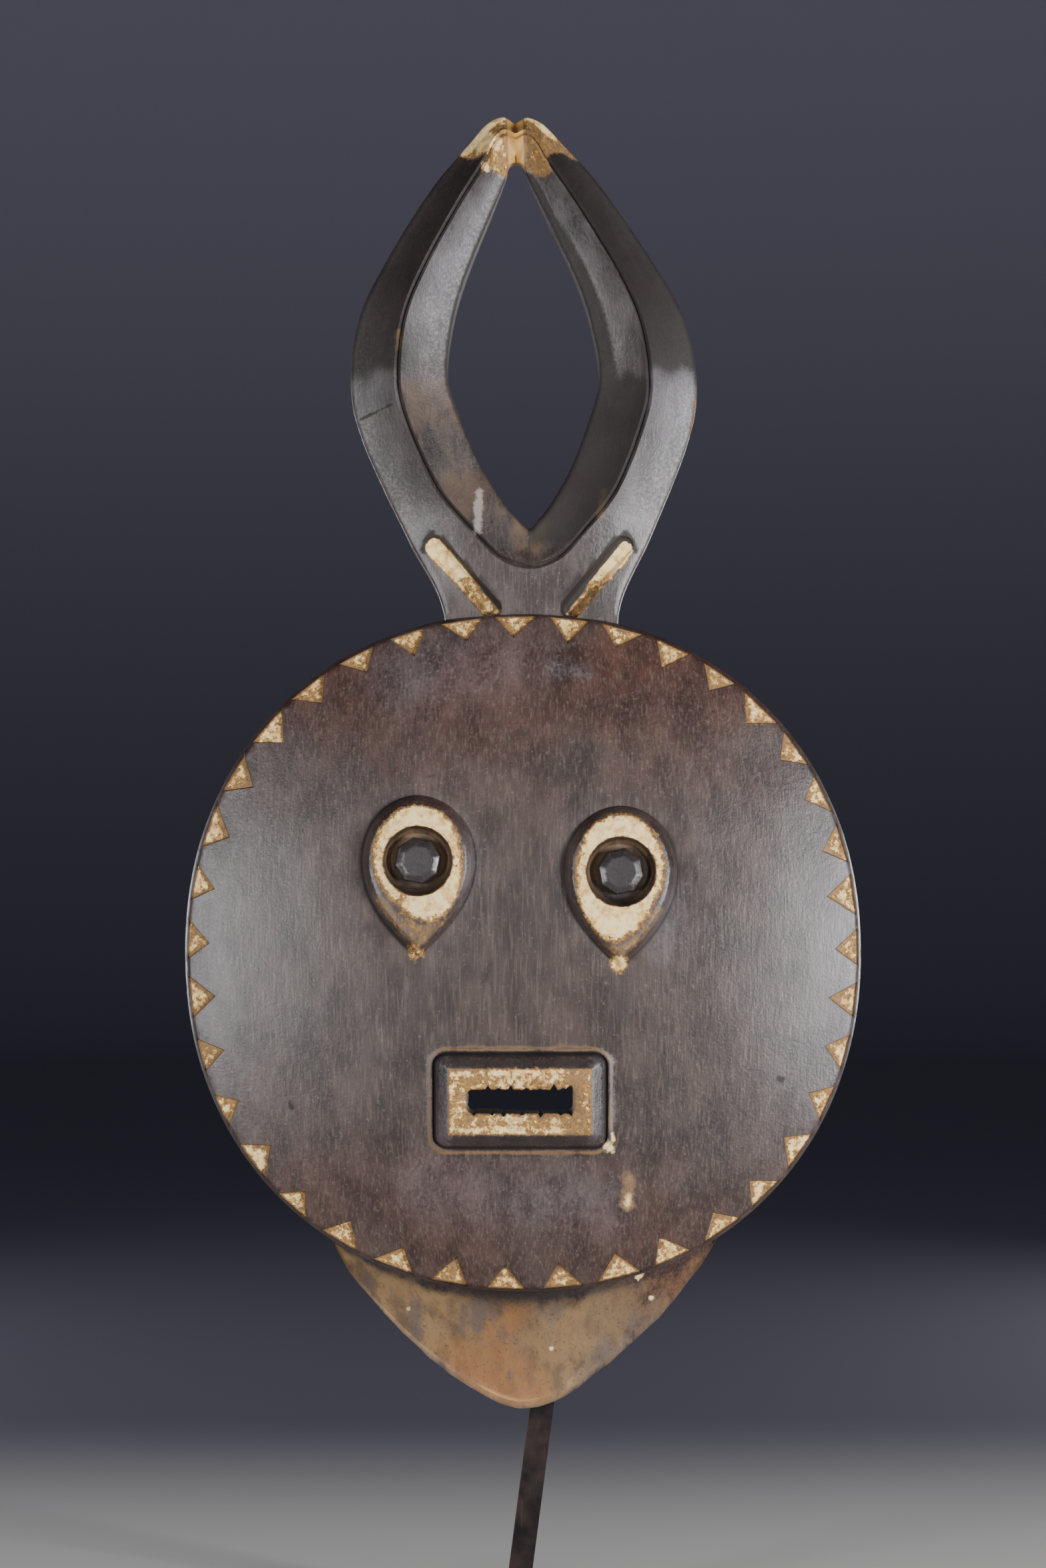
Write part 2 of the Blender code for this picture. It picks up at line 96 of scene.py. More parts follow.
def powered(value, power):
    return np.sign(value) * np.abs(value) ** power


def disc_share(plan):
    """0 in the disc's middle and 1 on its edge. plan has x and z in its columns."""
    return (np.abs(plan / HALF) ** SQUARENESS).sum(-1) ** (1 / SQUARENESS)


def dome(plan):
    return -CROWN * (1 - np.minimum(1, disc_share(plan)) ** CROWN_POWER)


def disc_back(plan):
    share = np.minimum(1, disc_share(plan))
    return dome(plan) + DISC_THICKNESS + (RIM_THICKNESS - DISC_THICKNESS) * share**2


def turns(count):
    return np.arange(count) * math.tau / count


def round_points(turn):
    return np.stack([np.cos(turn), np.sin(turn)], -1)


def disc_outline(scale, count):
    return scale * HALF * powered(round_points(turns(count)), 2 / SQUARENESS)


print("disc", round(DISC_HEIGHT * 1000, 1), "mm high, domed by", round(CROWN * 1000), "mm")

# %% [markdown]
# The eyes.
#
# Each eye is a raised drop with a round moat sunk in it, and a peg with eight flats left standing in
# the moat. All of that can be said as a height: how far the wood stands above the dome at any x and z.
# np.interp reads such a height from a short profile, the way a carver reads a template.

# %% Height of an eye
EYE_SPACING = 0.1084
EYE_LIFT = 0.0472
EYE_SKEW = 0.0057
EYE_SHIFT = -0.0020
EYE_WIDTH = 0.061
EYE_RISE = 0.035
EYE_DROP = 0.0518
EYE_RELIEF = 0.0065
MOAT_DEPTH = 0.0100
PEG_FLATS = 8
# The pegs' flats are turned a little, to opposite sides on the two eyes.
PEG_TURN = 0.2
# Share of the drop's outline, and the part of the relief reached there.
EYE_PROFILE = (
    (0.78, 0.85, 0.93, 0.985, 1.0, 1.035, 1.14, 1.30),
    (1, 0.93, 0.5, -0.03, -0.14, -0.10, -0.05, 0),
)
# Distance from the moat's middle, and the part of its depth reached there.
MOAT_PROFILE = ((0.0128, 0.0146, 0.0166, 0.0177, 0.0183, 0.0190), (1, 0.96, 0.72, 0.40, 0.10, 0))
# Distance out to the peg's flats, and the part of the moat's depth reached there.
PEG_PROFILE = ((0.0, 0.0078, 0.0108, 0.0114, 0.0118), (0.08, 0.05, 0.20, 0.36, 1))


def eye_middle(side):
    return np.array((side * EYE_SPACING / 2 + EYE_SHIFT, EYE_LIFT - side * EYE_SKEW / 2))


def eye_share(plan, side):
    """0 in the eye's middle, 1 on the outline of the drop."""
    x, z = (plan - eye_middle(side)).T
    across = np.abs(x) / (EYE_WIDTH / 2)
    above = np.hypot(across, z / EYE_RISE)
    below = (across + np.sqrt(across**2 + 4 * (z / EYE_DROP) ** 2)) / 2
    return np.where(z > 0, above, below)


def flat_reach(offset, side):
    """Distance from the peg's middle, measured square to the nearest of its flats."""
    angle = np.arctan2(offset[:, 1], offset[:, 0]) + side * PEG_TURN
    step = math.tau / PEG_FLATS
    return np.hypot(*offset.T) * np.cos(np.mod(angle, step) - step / 2)


def eye_height(plan, side):
    share = eye_share(plan, side)
    offset = plan - eye_middle(side)
    boss = EYE_RELIEF * np.interp(share, *EYE_PROFILE)
    around_peg = flat_reach(offset, side)
    moat = np.interp(np.hypot(*offset.T), *MOAT_PROFILE)
    moat = np.where(around_peg < PEG_PROFILE[0][-1], np.interp(around_peg, *PEG_PROFILE), moat)
    return boss - MOAT_DEPTH * moat


print("eyes", round(EYE_WIDTH * 1000), "mm wide and", round(EYE_RELIEF * 1000, 1), "mm high")

# %% [markdown]
# The mouth.
#
# The mouth is a box with round corners that rises in a narrow worn lip, a scored line and two bevels to
# a flat crest, and the crest turns in to the slot. The distance to such a box is a well-known formula,
# so the same idea as for the eyes works: distance in, height out.

# %% Height of the mouth
MOUTH_WIDTH = 0.096
MOUTH_HEIGHT = 0.055
MOUTH_CORNER = 0.009
MOUTH_RELIEF = 0.0085
MOUTH_AT = np.array((-0.0015, -0.0782))
SLOT_WIDTH = 0.0565
SLOT_HEIGHT = 0.0126
SLOT_CORNER = 0.0028
# Distance inside the frame's outline, and the part of the relief reached there.
MOUTH_PROFILE = (
    (-0.0012, -0.0002, 0.0010, 0.0019, 0.0026, 0.0040, 0.0094, 0.0106),
    (0, 0.09, 0.09, -0.05, 0.18, 0.56, 0.97, 1),
)
# Distance outside the slot, and how far the lip has turned in there.
LIP_PROFILE = ((0, 0.0012, 0.0048), (0.0026, 0.0012, 0))


def box_inset(plan, middle, width, height, corner):
    """How far each point is inside a box with round corners, and below 0 outside it."""
    over = np.abs(plan - middle) - (np.array((width, height)) / 2 - corner)
    beyond = np.hypot(*np.maximum(over, 0).T)
    return corner - beyond - np.minimum(over.max(-1), 0)


def mouth_inset(plan):
    return box_inset(plan, MOUTH_AT, MOUTH_WIDTH, MOUTH_HEIGHT, MOUTH_CORNER)


def slot_inset(plan):
    return box_inset(plan, MOUTH_AT, SLOT_WIDTH, SLOT_HEIGHT, SLOT_CORNER)


def mouth_height(plan):
    frame_up = MOUTH_RELIEF * np.interp(mouth_inset(plan), *MOUTH_PROFILE)
    return frame_up - np.interp(-slot_inset(plan), *LIP_PROFILE)


print("mouth", round(MOUTH_WIDTH * 1000), "mm wide and", round(MOUTH_RELIEF * 1000, 1), "mm high")

# %% [markdown]
# The notches round the rim.
#
# Shallow three-sided notches run round the rim, point inwards. They were cut by eye, so each differs a
# little in place, width and depth. A seeded random.Random gives the same hand-cut row every time.

# %% The rim's notches
NOTCH_COUNT = 38
NOTCH_REACH = 0.0148
NOTCH_WIDTH = 0.0225
NOTCH_DEPTH = 0.0016
NOTCH_UNEVENNESS = 0.16
NOTCH_TURN = math.radians(5.4)
NOTCH_DRIFT = math.radians(3.2)
NOTCH_DRIFT_FROM = math.radians(36)
NOTCH_WALL = 0.0005
# The flat floor of a notch as a share of its whole size.
NOTCH_FLOOR = 0.90
RIM_EDGE = 1 - RIM_BEVEL / HALF[0]


def rim_notches():
    """The corners of every notch: two by the rim and one towards the middle."""
    chance = random.Random(NOTCH_COUNT)
    found = []
    for index in range(NOTCH_COUNT):
        even = math.tau * index / NOTCH_COUNT
        turn = even + NOTCH_TURN + NOTCH_DRIFT * math.cos(even + NOTCH_DRIFT_FROM)
        reach = NOTCH_REACH * (1 + NOTCH_UNEVENNESS * chance.uniform(-1, 1))
        half = NOTCH_WIDTH / 2 / HALF[0] * (1 + NOTCH_UNEVENNESS * chance.uniform(-1, 1))
        tip = turn + half * NOTCH_UNEVENNESS * chance.uniform(-1, 1)
        corners = []
        for angle, inset in ((turn - half, RIM_BEVEL / 2), (turn + half, RIM_BEVEL / 2), (tip, reach)):
            toward = np.array((math.sin(angle), math.cos(angle)))
            corners.append(toward * (1 / disc_share(toward) - inset))
        found.append(np.array(corners))
    return found


def notch_inset(plan, corners):
    """How far inside a notch, and below 0 outside it."""
    inset = np.full(len(plan), np.inf)
    for a, b, c in ((0, 1, 2), (1, 2, 0), (2, 0, 1)):
        along = corners[b] - corners[a]
        square = np.array((-along[1], along[0])) / np.hypot(*along)
        square *= np.sign(square @ (corners[c] - corners[a]))
        inset = np.minimum(inset, (plan - corners[a]) @ square)
    return inset


NOTCHES = rim_notches()
print(len(NOTCHES), "notches")


# %% [markdown]
# The whole front as one height.
#
# Adding the heights together gives the front of the disc: dome, eyes, mouth, notches and the eased
# edge. The unevenness of hand work is added later, from smooth noise.

# %% The front of the disc
RIM_PROFILE = ((RIM_EDGE, (RIM_EDGE * 2 + 1) / 3, (RIM_EDGE + 2) / 3, 1), (0, 0.11, 0.42, 1))


def front(plan):
    y = dome(plan) - mouth_height(plan)
    for side in (-1, 1):
        y -= eye_height(plan, side)
    for corners in NOTCHES:
        y += NOTCH_DEPTH * np.clip(notch_inset(plan, corners) / NOTCH_WALL, 0, 1)
    return y + RIM_BEVEL * np.interp(disc_share(plan), *RIM_PROFILE)


# %% [markdown]
# From a height to a mesh.
#
# A plain grid would blur every carved edge. So the mesh is planned flat first, the way a carver draws
# on the board: a line along each edge of the carving, then loose points between the lines. A Delaunay
# triangulation joins them without crossing any line, and each point is then lifted to its height.

# %% Lines of the plan
PLAN_GAP = 0.0026
FINE_GAP = 0.0012
RIM_POINTS = 360


def divided(corners, gap):
    """A closed outline with points no further apart than gap, and every corner kept."""
    points = []
    for a, b in zip(corners, np.roll(corners, -1, axis=0)):
        count = max(1, math.ceil(np.hypot(*(b - a)) / gap))
        points += [a + (b - a) * step / count for step in range(count)]
    return np.array(points)


def drop_ring(side, share, count=88):
    turn = turns(count)
    across, up = np.cos(turn), np.sin(turn)
    across = np.where(up < 0, powered(across, 2), across)
    rise = np.where(up < 0, EYE_DROP, EYE_RISE)
    return eye_middle(side) + share * np.stack([EYE_WIDTH / 2 * across, rise * up], -1)


def peg_ring(side, reach):
    corner = reach / math.cos(math.pi / PEG_FLATS)
    flats = eye_middle(side) + corner * round_points(turns(PEG_FLATS) - side * PEG_TURN)
    return divided(flats, FINE_GAP)


def circle(middle, radius):
    return middle + radius * round_points(turns(round(math.tau * radius / FINE_GAP)))


def box_ring(width, height, corner, gap=FINE_GAP, steps=6):
    points = []
    for quarter in range(4):
        for step in range(steps + 1):
            turn = (quarter + step / steps) * math.pi / 2
            across = 1 if quarter in (0, 3) else -1
            up = 1 if quarter in (0, 1) else -1
            x = across * (width / 2 - corner) + corner * math.cos(turn)
            z = up * (height / 2 - corner) + corner * math.sin(turn)
            points.append(MOUTH_AT + (x, z))
    return divided(np.array(points), gap)


# %% [markdown]
# The slot's chipped lips.
#
# Small nicks run up and down from the slot where the lips have broken away. They are a list of places
# and sizes along the slot, and each one pushes the outline outwards in a small point.

# %% Outline of the slot
SLOT_GAP = 0.0007
# Where each nick is along the slot, how deep and how wide it is. Depth below 0 cuts the lower lip.
NICKS = (
    (-0.0262, -0.0012, 0.0016),
    (-0.0187, 0.0026, 0.0016),
    (-0.0130, 0.0009, 0.0020),
    (-0.0065, 0.0028, 0.0015),
    (0.0016, 0.0012, 0.0018),
    (0.0090, 0.0008, 0.0016),
    (0.0165, 0.0036, 0.0018),
    (0.0214, 0.0012, 0.0014),
    (0.0258, 0.0032, 0.0034),
    (-0.0165, -0.0012, 0.0014),
    (-0.0104, -0.0020, 0.0014),
    (-0.0007, -0.0012, 0.0018),
    (0.0094, -0.0022, 0.0016),
    (0.0201, -0.0012, 0.0014),
    (0.0262, -0.0024, 0.0020),
)


def slot_ring(chipped):
    ring = box_ring(SLOT_WIDTH, SLOT_HEIGHT, SLOT_CORNER, SLOT_GAP)
    if not chipped:
        return ring
    up = np.sign(ring[:, 1] - MOUTH_AT[1])
    for at, depth, wide in NICKS:
        near = np.clip(1 - np.abs(ring[:, 0] - at) / wide, 0, 1) * (up == np.sign(depth))
        ring[:, 1] += depth * near
    return ring


print(len(NICKS), "nicks along the slot")

# %% Triangulate the plan
PLAN_SEED = 7


def loose_points(gap, keep, lines, clear):
    """A grid of points moved a little off their places, away from the lines of the plan."""
    chance = np.random.default_rng(PLAN_SEED)
    columns = np.arange(-HALF[0], HALF[0], gap)
    rows = np.arange(-HALF[1], HALF[1], gap * math.sqrt(3) / 2)
    x, z = np.meshgrid(columns, rows)
    x[1::2] += gap / 2
    plan = np.stack([x.ravel(), z.ravel()], -1) + chance.uniform(-gap / 5, gap / 5, (x.size, 2))
    plan = plan[keep(plan)]
    tree = kdtree.KDTree(len(lines))
    for index, point in enumerate(lines):
        tree.insert((*point, 0), index)
    tree.balance()
    return np.array([p for p in plan if tree.find((*p, 0))[2] > clear])


def triangulated(loops, loose):
    """Flat points and triangles that keep every loop as a line of edges."""
    edges = []
    first = 0
    for loop in loops:
        count = len(loop)
        edges += [(first + i, first + (i + 1) % count) for i in range(count)]
        first += count
    points = [Vector(p) for p in np.concatenate([*loops, *loose])]
    flat, _, faces, _, _, _ = delaunay_2d_cdt(points, edges, [], 0, 1e-6)
    return np.array([tuple(p) for p in flat]), faces


def encloses(outline, plan):
    """Which points of the plan lie inside the outline."""
    inside = np.zeros(len(plan), bool)
    for (x0, z0), (x1, z1) in zip(outline, np.roll(outline, -1, axis=0)):
        spans = (z0 > plan[:, 1]) != (z1 > plan[:, 1])
        with np.errstate(divide="ignore", invalid="ignore"):
            crossing = x0 + (plan[:, 1] - z0) * (x1 - x0) / (z1 - z0)
        inside ^= spans & (plan[:, 0] < crossing)
    return inside


def without_slot(plan, faces, outline):
    centres = plan[np.array(faces)].mean(1)
    return [face for face, cut in zip(faces, encloses(outline, centres)) if not cut]


# %% Plan of the front
def front_loops():
    loops = [disc_outline(1, RIM_POINTS)]
    for scale in RIM_PROFILE[0][:-1]:
        loops.append(disc_outline(scale, RIM_POINTS))
    for side in (-1, 1):
        loops += [drop_ring(side, share) for share in EYE_PROFILE[0]]
        loops += [circle(eye_middle(side), radius) for radius in MOAT_PROFILE[0][1:]]
        loops += [peg_ring(side, reach) for reach in PEG_PROFILE[0][1:]]
    for inset in MOUTH_PROFILE[0]:
        corner = max(MOUTH_CORNER - inset, FINE_GAP)
        loops.append(box_ring(MOUTH_WIDTH - 2 * inset, MOUTH_HEIGHT - 2 * inset, corner))
    grow = LIP_PROFILE[0][-1]
    loops.append(box_ring(SLOT_WIDTH + 2 * grow, SLOT_HEIGHT + 2 * grow, SLOT_CORNER + grow))
    loops.append(slot_ring(True))
    for corners in NOTCHES:
        loops.append(divided(corners, FINE_GAP))
        centre = corners.mean(0)
        floor = centre + (corners - centre) * NOTCH_FLOOR
        loops.append(divided(floor, FINE_GAP))
    return loops


def near_carving(plan):
    eyes = np.minimum(eye_share(plan, -1), eye_share(plan, 1)) < 1
    return eyes | (mouth_inset(plan) > 0)


def on_plain_dome(plan):
    return (disc_share(plan) < RIM_EDGE) & ~near_carving(plan)


loops = front_loops()
lines = np.concatenate(loops)
loose = [
    loose_points(PLAN_GAP, on_plain_dome, lines, PLAN_GAP / 2),
    loose_points(FINE_GAP, near_carving, lines, FINE_GAP / 2),
]
front_plan, front_faces = triangulated(loops, loose)
front_faces = without_slot(front_plan, front_faces, slot_ring(True))
print("front:", len(front_plan), "points and", len(front_faces), "triangles")

# %% [markdown]
# The collar and the chin.
#
# The hollow behind the disc is a wall that starts inside the rim and runs back. Ring after ring of the
# same number of points can skin all of it without a break: out over the rim, along the outside of the
# wall, over its back edge, down the inside and up to the back of the disc. The outline of each ring is
# a round top over a narrowing drop, and the drop gets longer as it goes back, which makes the chin with
# its blunt tip.

# %% Rings of the collar
COLLAR_WIDTH = 0.252
COLLAR_TOP = 0.140
COLLAR_WIDEST_DROP = 0.090
COLLAR_WALL = 0.012
COLLAR_DEPTH = 0.092
CHIN_WALL = 0.022
CHIN_DEPTH = 0.046
CHIN_SHARPNESS = 1.75
# The share of the half width where the rounding of the chin's tip starts.
CHIN_BLUNTNESS = 0.45
CHIN_FLARE = 1.4
CHIN_TUCK = 0.006
COLLAR_STEPS = 24
# Share of the way over the wall's back edge, and how far the rounded edge falls short there.
BACK_EDGE = ((0, 0.0022), (0.08, 0.0005), (0.3, 0), (0.6, 0), (0.86, 0.0005), (1, 0.0025))


def collar_outline(depth, inside):
    side = COLLAR_WALL if inside else 0
    chin = HALF[1] - CHIN_TUCK
    chin += (CHIN_DROP - chin) * depth**CHIN_FLARE - (CHIN_WALL if inside else 0)
    turn = turns(RIM_POINTS)
    across, up = np.cos(turn), np.sin(turn)
    rounded = (across**2 + CHIN_BLUNTNESS**2) / (1 + CHIN_BLUNTNESS**2)
    across = np.where(up < 0, across * rounded ** ((CHIN_SHARPNESS - 1) / 2), across)
    rise = COLLAR_TOP + COLLAR_WIDEST_DROP - side
    rise = np.where(up < 0, chin - COLLAR_WIDEST_DROP, rise)
    return np.stack([(COLLAR_WIDTH / 2 - side) * across, rise * up - COLLAR_WIDEST_DROP], -1)


def lifted(plan, y):
    return np.stack([plan[:, 0], np.broadcast_to(y, len(plan)), plan[:, 1]], -1)


def collar_ring(depth, inside):
    plan = collar_outline(depth, inside)
    share = (plan[:, 1] + CHIN_DROP) / (COLLAR_TOP + CHIN_DROP)
    back = CHIN_DEPTH + (COLLAR_DEPTH - CHIN_DEPTH) * share
    start = disc_back(plan)
    return lifted(plan, start + (back - start) * depth)


def collar_rings():
    """From the rim's front edge round the back to the edge of the disc's back panel."""
    rim = disc_outline(1, RIM_POINTS)
    eased = disc_outline(RIM_EDGE, RIM_POINTS)
    foot = collar_outline(0, False)
    rings = [lifted(rim, y) for y in (RIM_BEVEL, RIM_THICKNESS / 2, RIM_THICKNESS - RIM_BEVEL)]
    for share in (0, 0.5, 1):
        plan = eased + (foot - eased) * share
        rings.append(lifted(plan, disc_back(plan)))
    depths = np.linspace(0, 1, COLLAR_STEPS + 1)[1:]
    rings += [collar_ring(depth, False) for depth in depths[:-1]]
    outer, inner = collar_ring(1, False), collar_ring(1, True)
    for share, drop in BACK_EDGE:
        ring = outer + (inner - outer) * share
        ring[:, 1] -= drop
        rings.append(ring)
    rings += [collar_ring(depth, True) for depth in depths[-2::-1]]
    rings.append(collar_ring(0, True))
    return rings


print(len(collar_rings()), "rings in the collar")

# %% Back panel and the slot's walls
PANEL_GAP = 0.004
SLOT_STEPS = 6


def back_panel():
    ring = collar_outline(0, True)
    slot = slot_ring(False)
    lines = np.concatenate([ring, slot])
    loose = loose_points(PANEL_GAP, lambda plan: encloses(ring, plan), lines, PANEL_GAP / 2)
    plan, faces = triangulated([ring, slot], [loose])
    return lifted(plan, disc_back(plan)), without_slot(plan, faces, slot)


def slot_rings():
    chipped, plain = slot_ring(True), slot_ring(False)
    near, far = lifted(chipped, front(chipped)), lifted(plain, disc_back(plain))
    return [near + (far - near) * share for share in np.linspace(0, 1, SLOT_STEPS + 1)]


# %% [markdown]
# The horns.
#
# Each horn is a long faceted bar: two front facets fall away from a ridge with a groove along it, and
# the sides run back. Its outer edge, ridge and inner edge are three curves through a few listed points.
# A cross-section is set at many places along them and the sections are skinned. The left horn is the
# right one turned over, and the two join at the neck below and at the tips above.

# %% Curves of the horns
HORN_RISE = 0.2693
HORN_SPAN = 0.1876
HORN_SHIFT = 0.0045
HORN_LEAN = math.radians(1.9)
NECK_SETBACK = 0.003
KNEE_FORWARD = 0.010
FACET_DROP = 0.014
NECK_DEPTH = 0.047
TIP_DEPTH = 0.025
HORN_EDGE = 0.005
HORN_STEPS = 10
# Outer edge, ridge and inner edge from the neck to the bridge between the tips, each as (x, z), and how
# far the edges fall back. x is a share of half the span and z of the rise. None is the collar's roof.
HORN_ROWS = (
    ((0.000, None), (0.000, 0.095), (0.000, 0.169), 0.25),
    ((0.470, None), (0.171, 0.114), (0.064, 0.189), 0.30),
    ((0.501, -0.004), (0.330, 0.170), (0.160, 0.233), 0.45),
    ((0.709, 0.155), (0.512, 0.248), (0.272, 0.304), 0.80),
    ((0.933, 0.337), (0.666, 0.371), (0.400, 0.419), 1.00),
    ((1.000, 0.452), (0.723, 0.460), (0.439, 0.489), 1.00),
    ((0.944, 0.586), (0.682, 0.582), (0.389, 0.597), 1.00),
    ((0.768, 0.709), (0.560, 0.686), (0.299, 0.690), 0.95),
    ((0.480, 0.861), (0.352, 0.813), (0.149, 0.809), 0.85),
    ((0.277, 0.944), (0.190, 0.902), (0.064, 0.876), 0.70),
    ((0.162, 0.986), (0.120, 0.946), (0.046, 0.899), 0.55),
    ((0.070, 1.000), (0.060, 0.964), (0.022, 0.908), 0.50),
    ((0.000, 0.990), (0.000, 0.956), (0.000, 0.910), 0.80),
)


def collar_roof(x):
    half = COLLAR_WIDTH / 2 - COLLAR_WALL / 2
    rise = COLLAR_TOP + COLLAR_WIDEST_DROP - COLLAR_WALL / 2
    return -COLLAR_WIDEST_DROP + rise * math.sqrt(1 - (x / half) ** 2)


def horn_point(share):
    x = share[0] * HORN_SPAN / 2
    return np.array((x, collar_roof(x) if share[1] is None else HALF[1] + HORN_RISE * share[1]))


def smooth_line(points, before, after):
    """A Catmull-Rom curve through the points. before and after lie past its ends."""
    controls = [before, *points, after]
    curve = []
    for a, b, c, d in zip(controls, controls[1:], controls[2:], controls[3:]):
        for step in range(HORN_STEPS):
            t = step / HORN_STEPS
            bend = (2 * a - 5 * b + 4 * c - d) * t * t + (3 * b - a - 3 * c + d) * t**3
            curve.append((2 * b + (c - a) * t + bend) / 2)
    return [*curve, points[-1]]


def horn_lines():
    flip = np.array((-1, 1))
    outer, ridge, inner = ([horn_point(row[k]) for row in HORN_ROWS] for k in range(3))
    lines = []
    for a, b in zip(outer[:2], outer[1:3]):
        lines += [a + (b - a) * step / HORN_STEPS for step in range(HORN_STEPS)]
    outer_line = lines + smooth_line(outer[2:], outer[1], outer[-2] * flip)
    ridge_line, inner_line = (smooth_line(p, p[1] * flip, p[-2] * flip) for p in (ridge, inner))
    rows = np.arange(len(HORN_ROWS))
    falls = np.interp(np.linspace(0, rows[-1], len(ridge_line)), rows, [row[3] for row in HORN_ROWS])
    return list(zip(outer_line, ridge_line, inner_line, falls))


# %% A section across a horn
GROOVE_WIDTH = 0.0024
GROOVE_DEPTH = 0.0022
FACET_SAG = 0.0011
FACET_STEPS = 9
EDGE_EASE = 0.0016


def unit(vector):
    return vector / np.hypot(*vector)


def turned(vector):
    """The same vector, a quarter turn to the left."""
    return np.array((-vector[1], vector[0]))


def lean(x, z):
    return x + HORN_SHIFT - math.tan(HORN_LEAN) * (z - HALF[1])


def horn_section(outer, ridge, inner, fall, side):
    """One ring of points: facet, groove, facet, inner wall, back and outer wall."""
    rise = np.clip((ridge[1] - HALF[1]) / HORN_RISE, 0, 1)
    top = NECK_SETBACK - KNEE_FORWARD * math.sin(math.pi * rise)
    back = NECK_SETBACK + NECK_DEPTH + (TIP_DEPTH - NECK_DEPTH) * rise
    edge = top + FACET_DROP * fall
    out, inn, across = unit(outer - ridge), unit(inner - ridge), unit(inner - outer)
    half = GROOVE_WIDTH / 2
    corners = (
        (outer, edge + EDGE_EASE, 1),
        (outer + across * EDGE_EASE / 2, edge + EDGE_EASE / 4, 1),
        (outer - out * EDGE_EASE * 1.5, edge - EDGE_EASE / 6, FACET_STEPS),
        (ridge + out * half * 1.5, top, 1),
        (ridge + out * half * 0.8, top + GROOVE_DEPTH * 0.3, 1),
        (ridge, top + GROOVE_DEPTH, 1),
        (ridge + inn * half * 0.8, top + GROOVE_DEPTH * 0.3, 1),
        (ridge + inn * half * 1.5, top, FACET_STEPS),
        (inner - inn * EDGE_EASE * 1.5, edge - EDGE_EASE / 6, 1),
        (inner - across * EDGE_EASE / 2, edge + EDGE_EASE / 4, 1),
        (inner, edge + EDGE_EASE, 8),
        (inner, back - HORN_EDGE, 2),
        (inner - across * HORN_EDGE * 0.3, back - HORN_EDGE * 0.3, 2),
        (inner - across * HORN_EDGE, back, 7),
        (outer + across * HORN_EDGE, back, 2),
        (outer + across * HORN_EDGE * 0.3, back - HORN_EDGE * 0.3, 2),
        (outer, back - HORN_EDGE, 8),
    )
    points = []
    for (p, y, count), (q, far, _) in zip(corners, corners[1:] + corners[:1]):
        for step in range(count):
            t = step / count
            sag = FACET_SAG * 4 * t * (1 - t) if count == FACET_STEPS else 0
            x, z = p + (q - p) * t
            points.append((lean(side * x, z), y + (far - y) * t + sag, z))
    return points


def horn_rings():
    stations = horn_lines()
    right = [horn_section(*station, 1) for station in stations]
    left = [horn_section(*station, -1) for station in reversed(stations[1:-1])]
    return right + left


print(len(horn_rings()), "sections round the two horns")

# %% [markdown]
# Putting the block together.
#
# The front, the collar and the slot share their border points, so welding those points closes them
# into one body. The horns are a second closed body. The ears, a long slanting groove at the foot of
# each horn, are cut out of it with a Boolean difference, and a Boolean union then makes the two bodies
# one, as in the real wood. Each point keeps a number that says which part of the carving it belongs to,
# because the tool marks and the paint need it later.

# %% Weld the body
REGIONS = {"horns": 0, "front": 1, "edge": 2, "outside": 3, "hollow": 4}
# How many of the collar's rings lie on the disc's edge.
EDGE_RINGS = 5
WELD = 2e-5


def add_points(shape, layer, points, region):
    made = []
    for point in points:
        vertex = shape.verts.new(point)
        vertex[layer] = REGIONS[region]
        made.append(vertex)
    return made


def add_faces(shape, rows):
    for low, high in zip(rows, rows[1:]):
        for i in range(len(low)):
            j = (i + 1) % len(low)
            shape.faces.new((low[i], low[j], high[j], high[i]))


def new_shape():
    shape = bmesh.new()
    return shape, shape.verts.layers.float.new("region")


def read(mesh, name):
    values = np.zeros(len(mesh.vertices), np.float32)
    mesh.attributes[name].data.foreach_get("value", values)
    return values


def to_object(name, shape, weld=0.0):
    if weld:
        bmesh.ops.remove_doubles(shape, verts=shape.verts, dist=weld)
    bmesh.ops.triangulate(shape, faces=shape.faces)
    bmesh.ops.recalc_face_normals(shape, faces=shape.faces)
    open_edges = sum(not edge.is_manifold for edge in shape.edges)
    mesh = bpy.data.meshes.new(name)
    shape.to_mesh(mesh)
    shape.free()
    obj = bpy.data.objects.new(name, mesh)
    bpy.context.scene.collection.objects.link(obj)
    print(name, len(mesh.vertices), "points,", len(mesh.polygons), "faces,", open_edges, "open edges")
    return obj


def make_body():
    shape, layer = new_shape()
    verts = add_points(shape, layer, lifted(front_plan, front(front_plan)), "front")
    for face in front_faces:
        shape.faces.new([verts[i] for i in face])
    rings = collar_rings()
    half = len(rings) // 2
    kinds = ["edge"] * EDGE_RINGS + ["outside"] * (half - EDGE_RINGS) + ["hollow"] * (len(rings) - half)
    add_faces(shape, [add_points(shape, layer, ring, kind) for ring, kind in zip(rings, kinds)])
    add_faces(shape, [add_points(shape, layer, ring, "edge") for ring in slot_rings()])
    points, faces = back_panel()
    verts = add_points(shape, layer, points, "hollow")
    for face in faces:
        shape.faces.new([verts[i] for i in face])
    return to_object("carved_mask", shape, WELD)


def make_horns():
    shape, layer = new_shape()
    rows = [add_points(shape, layer, ring, "horns") for ring in horn_rings()]
    add_faces(shape, rows + rows[:1])
    return to_object("horns", shape)


mask = make_body()
horns = make_horns()

# %% The ears' cutters
EAR_WIDTH = 0.0100
EAR_DEPTH = 0.0030
EAR_SLOPE = math.radians(4.3)
EAR_TOP = (0.553, 0.136)
EAR_FOOT = (0.237, 0.008)
EAR_REACH = 0.020
EAR_END_STEPS = 12
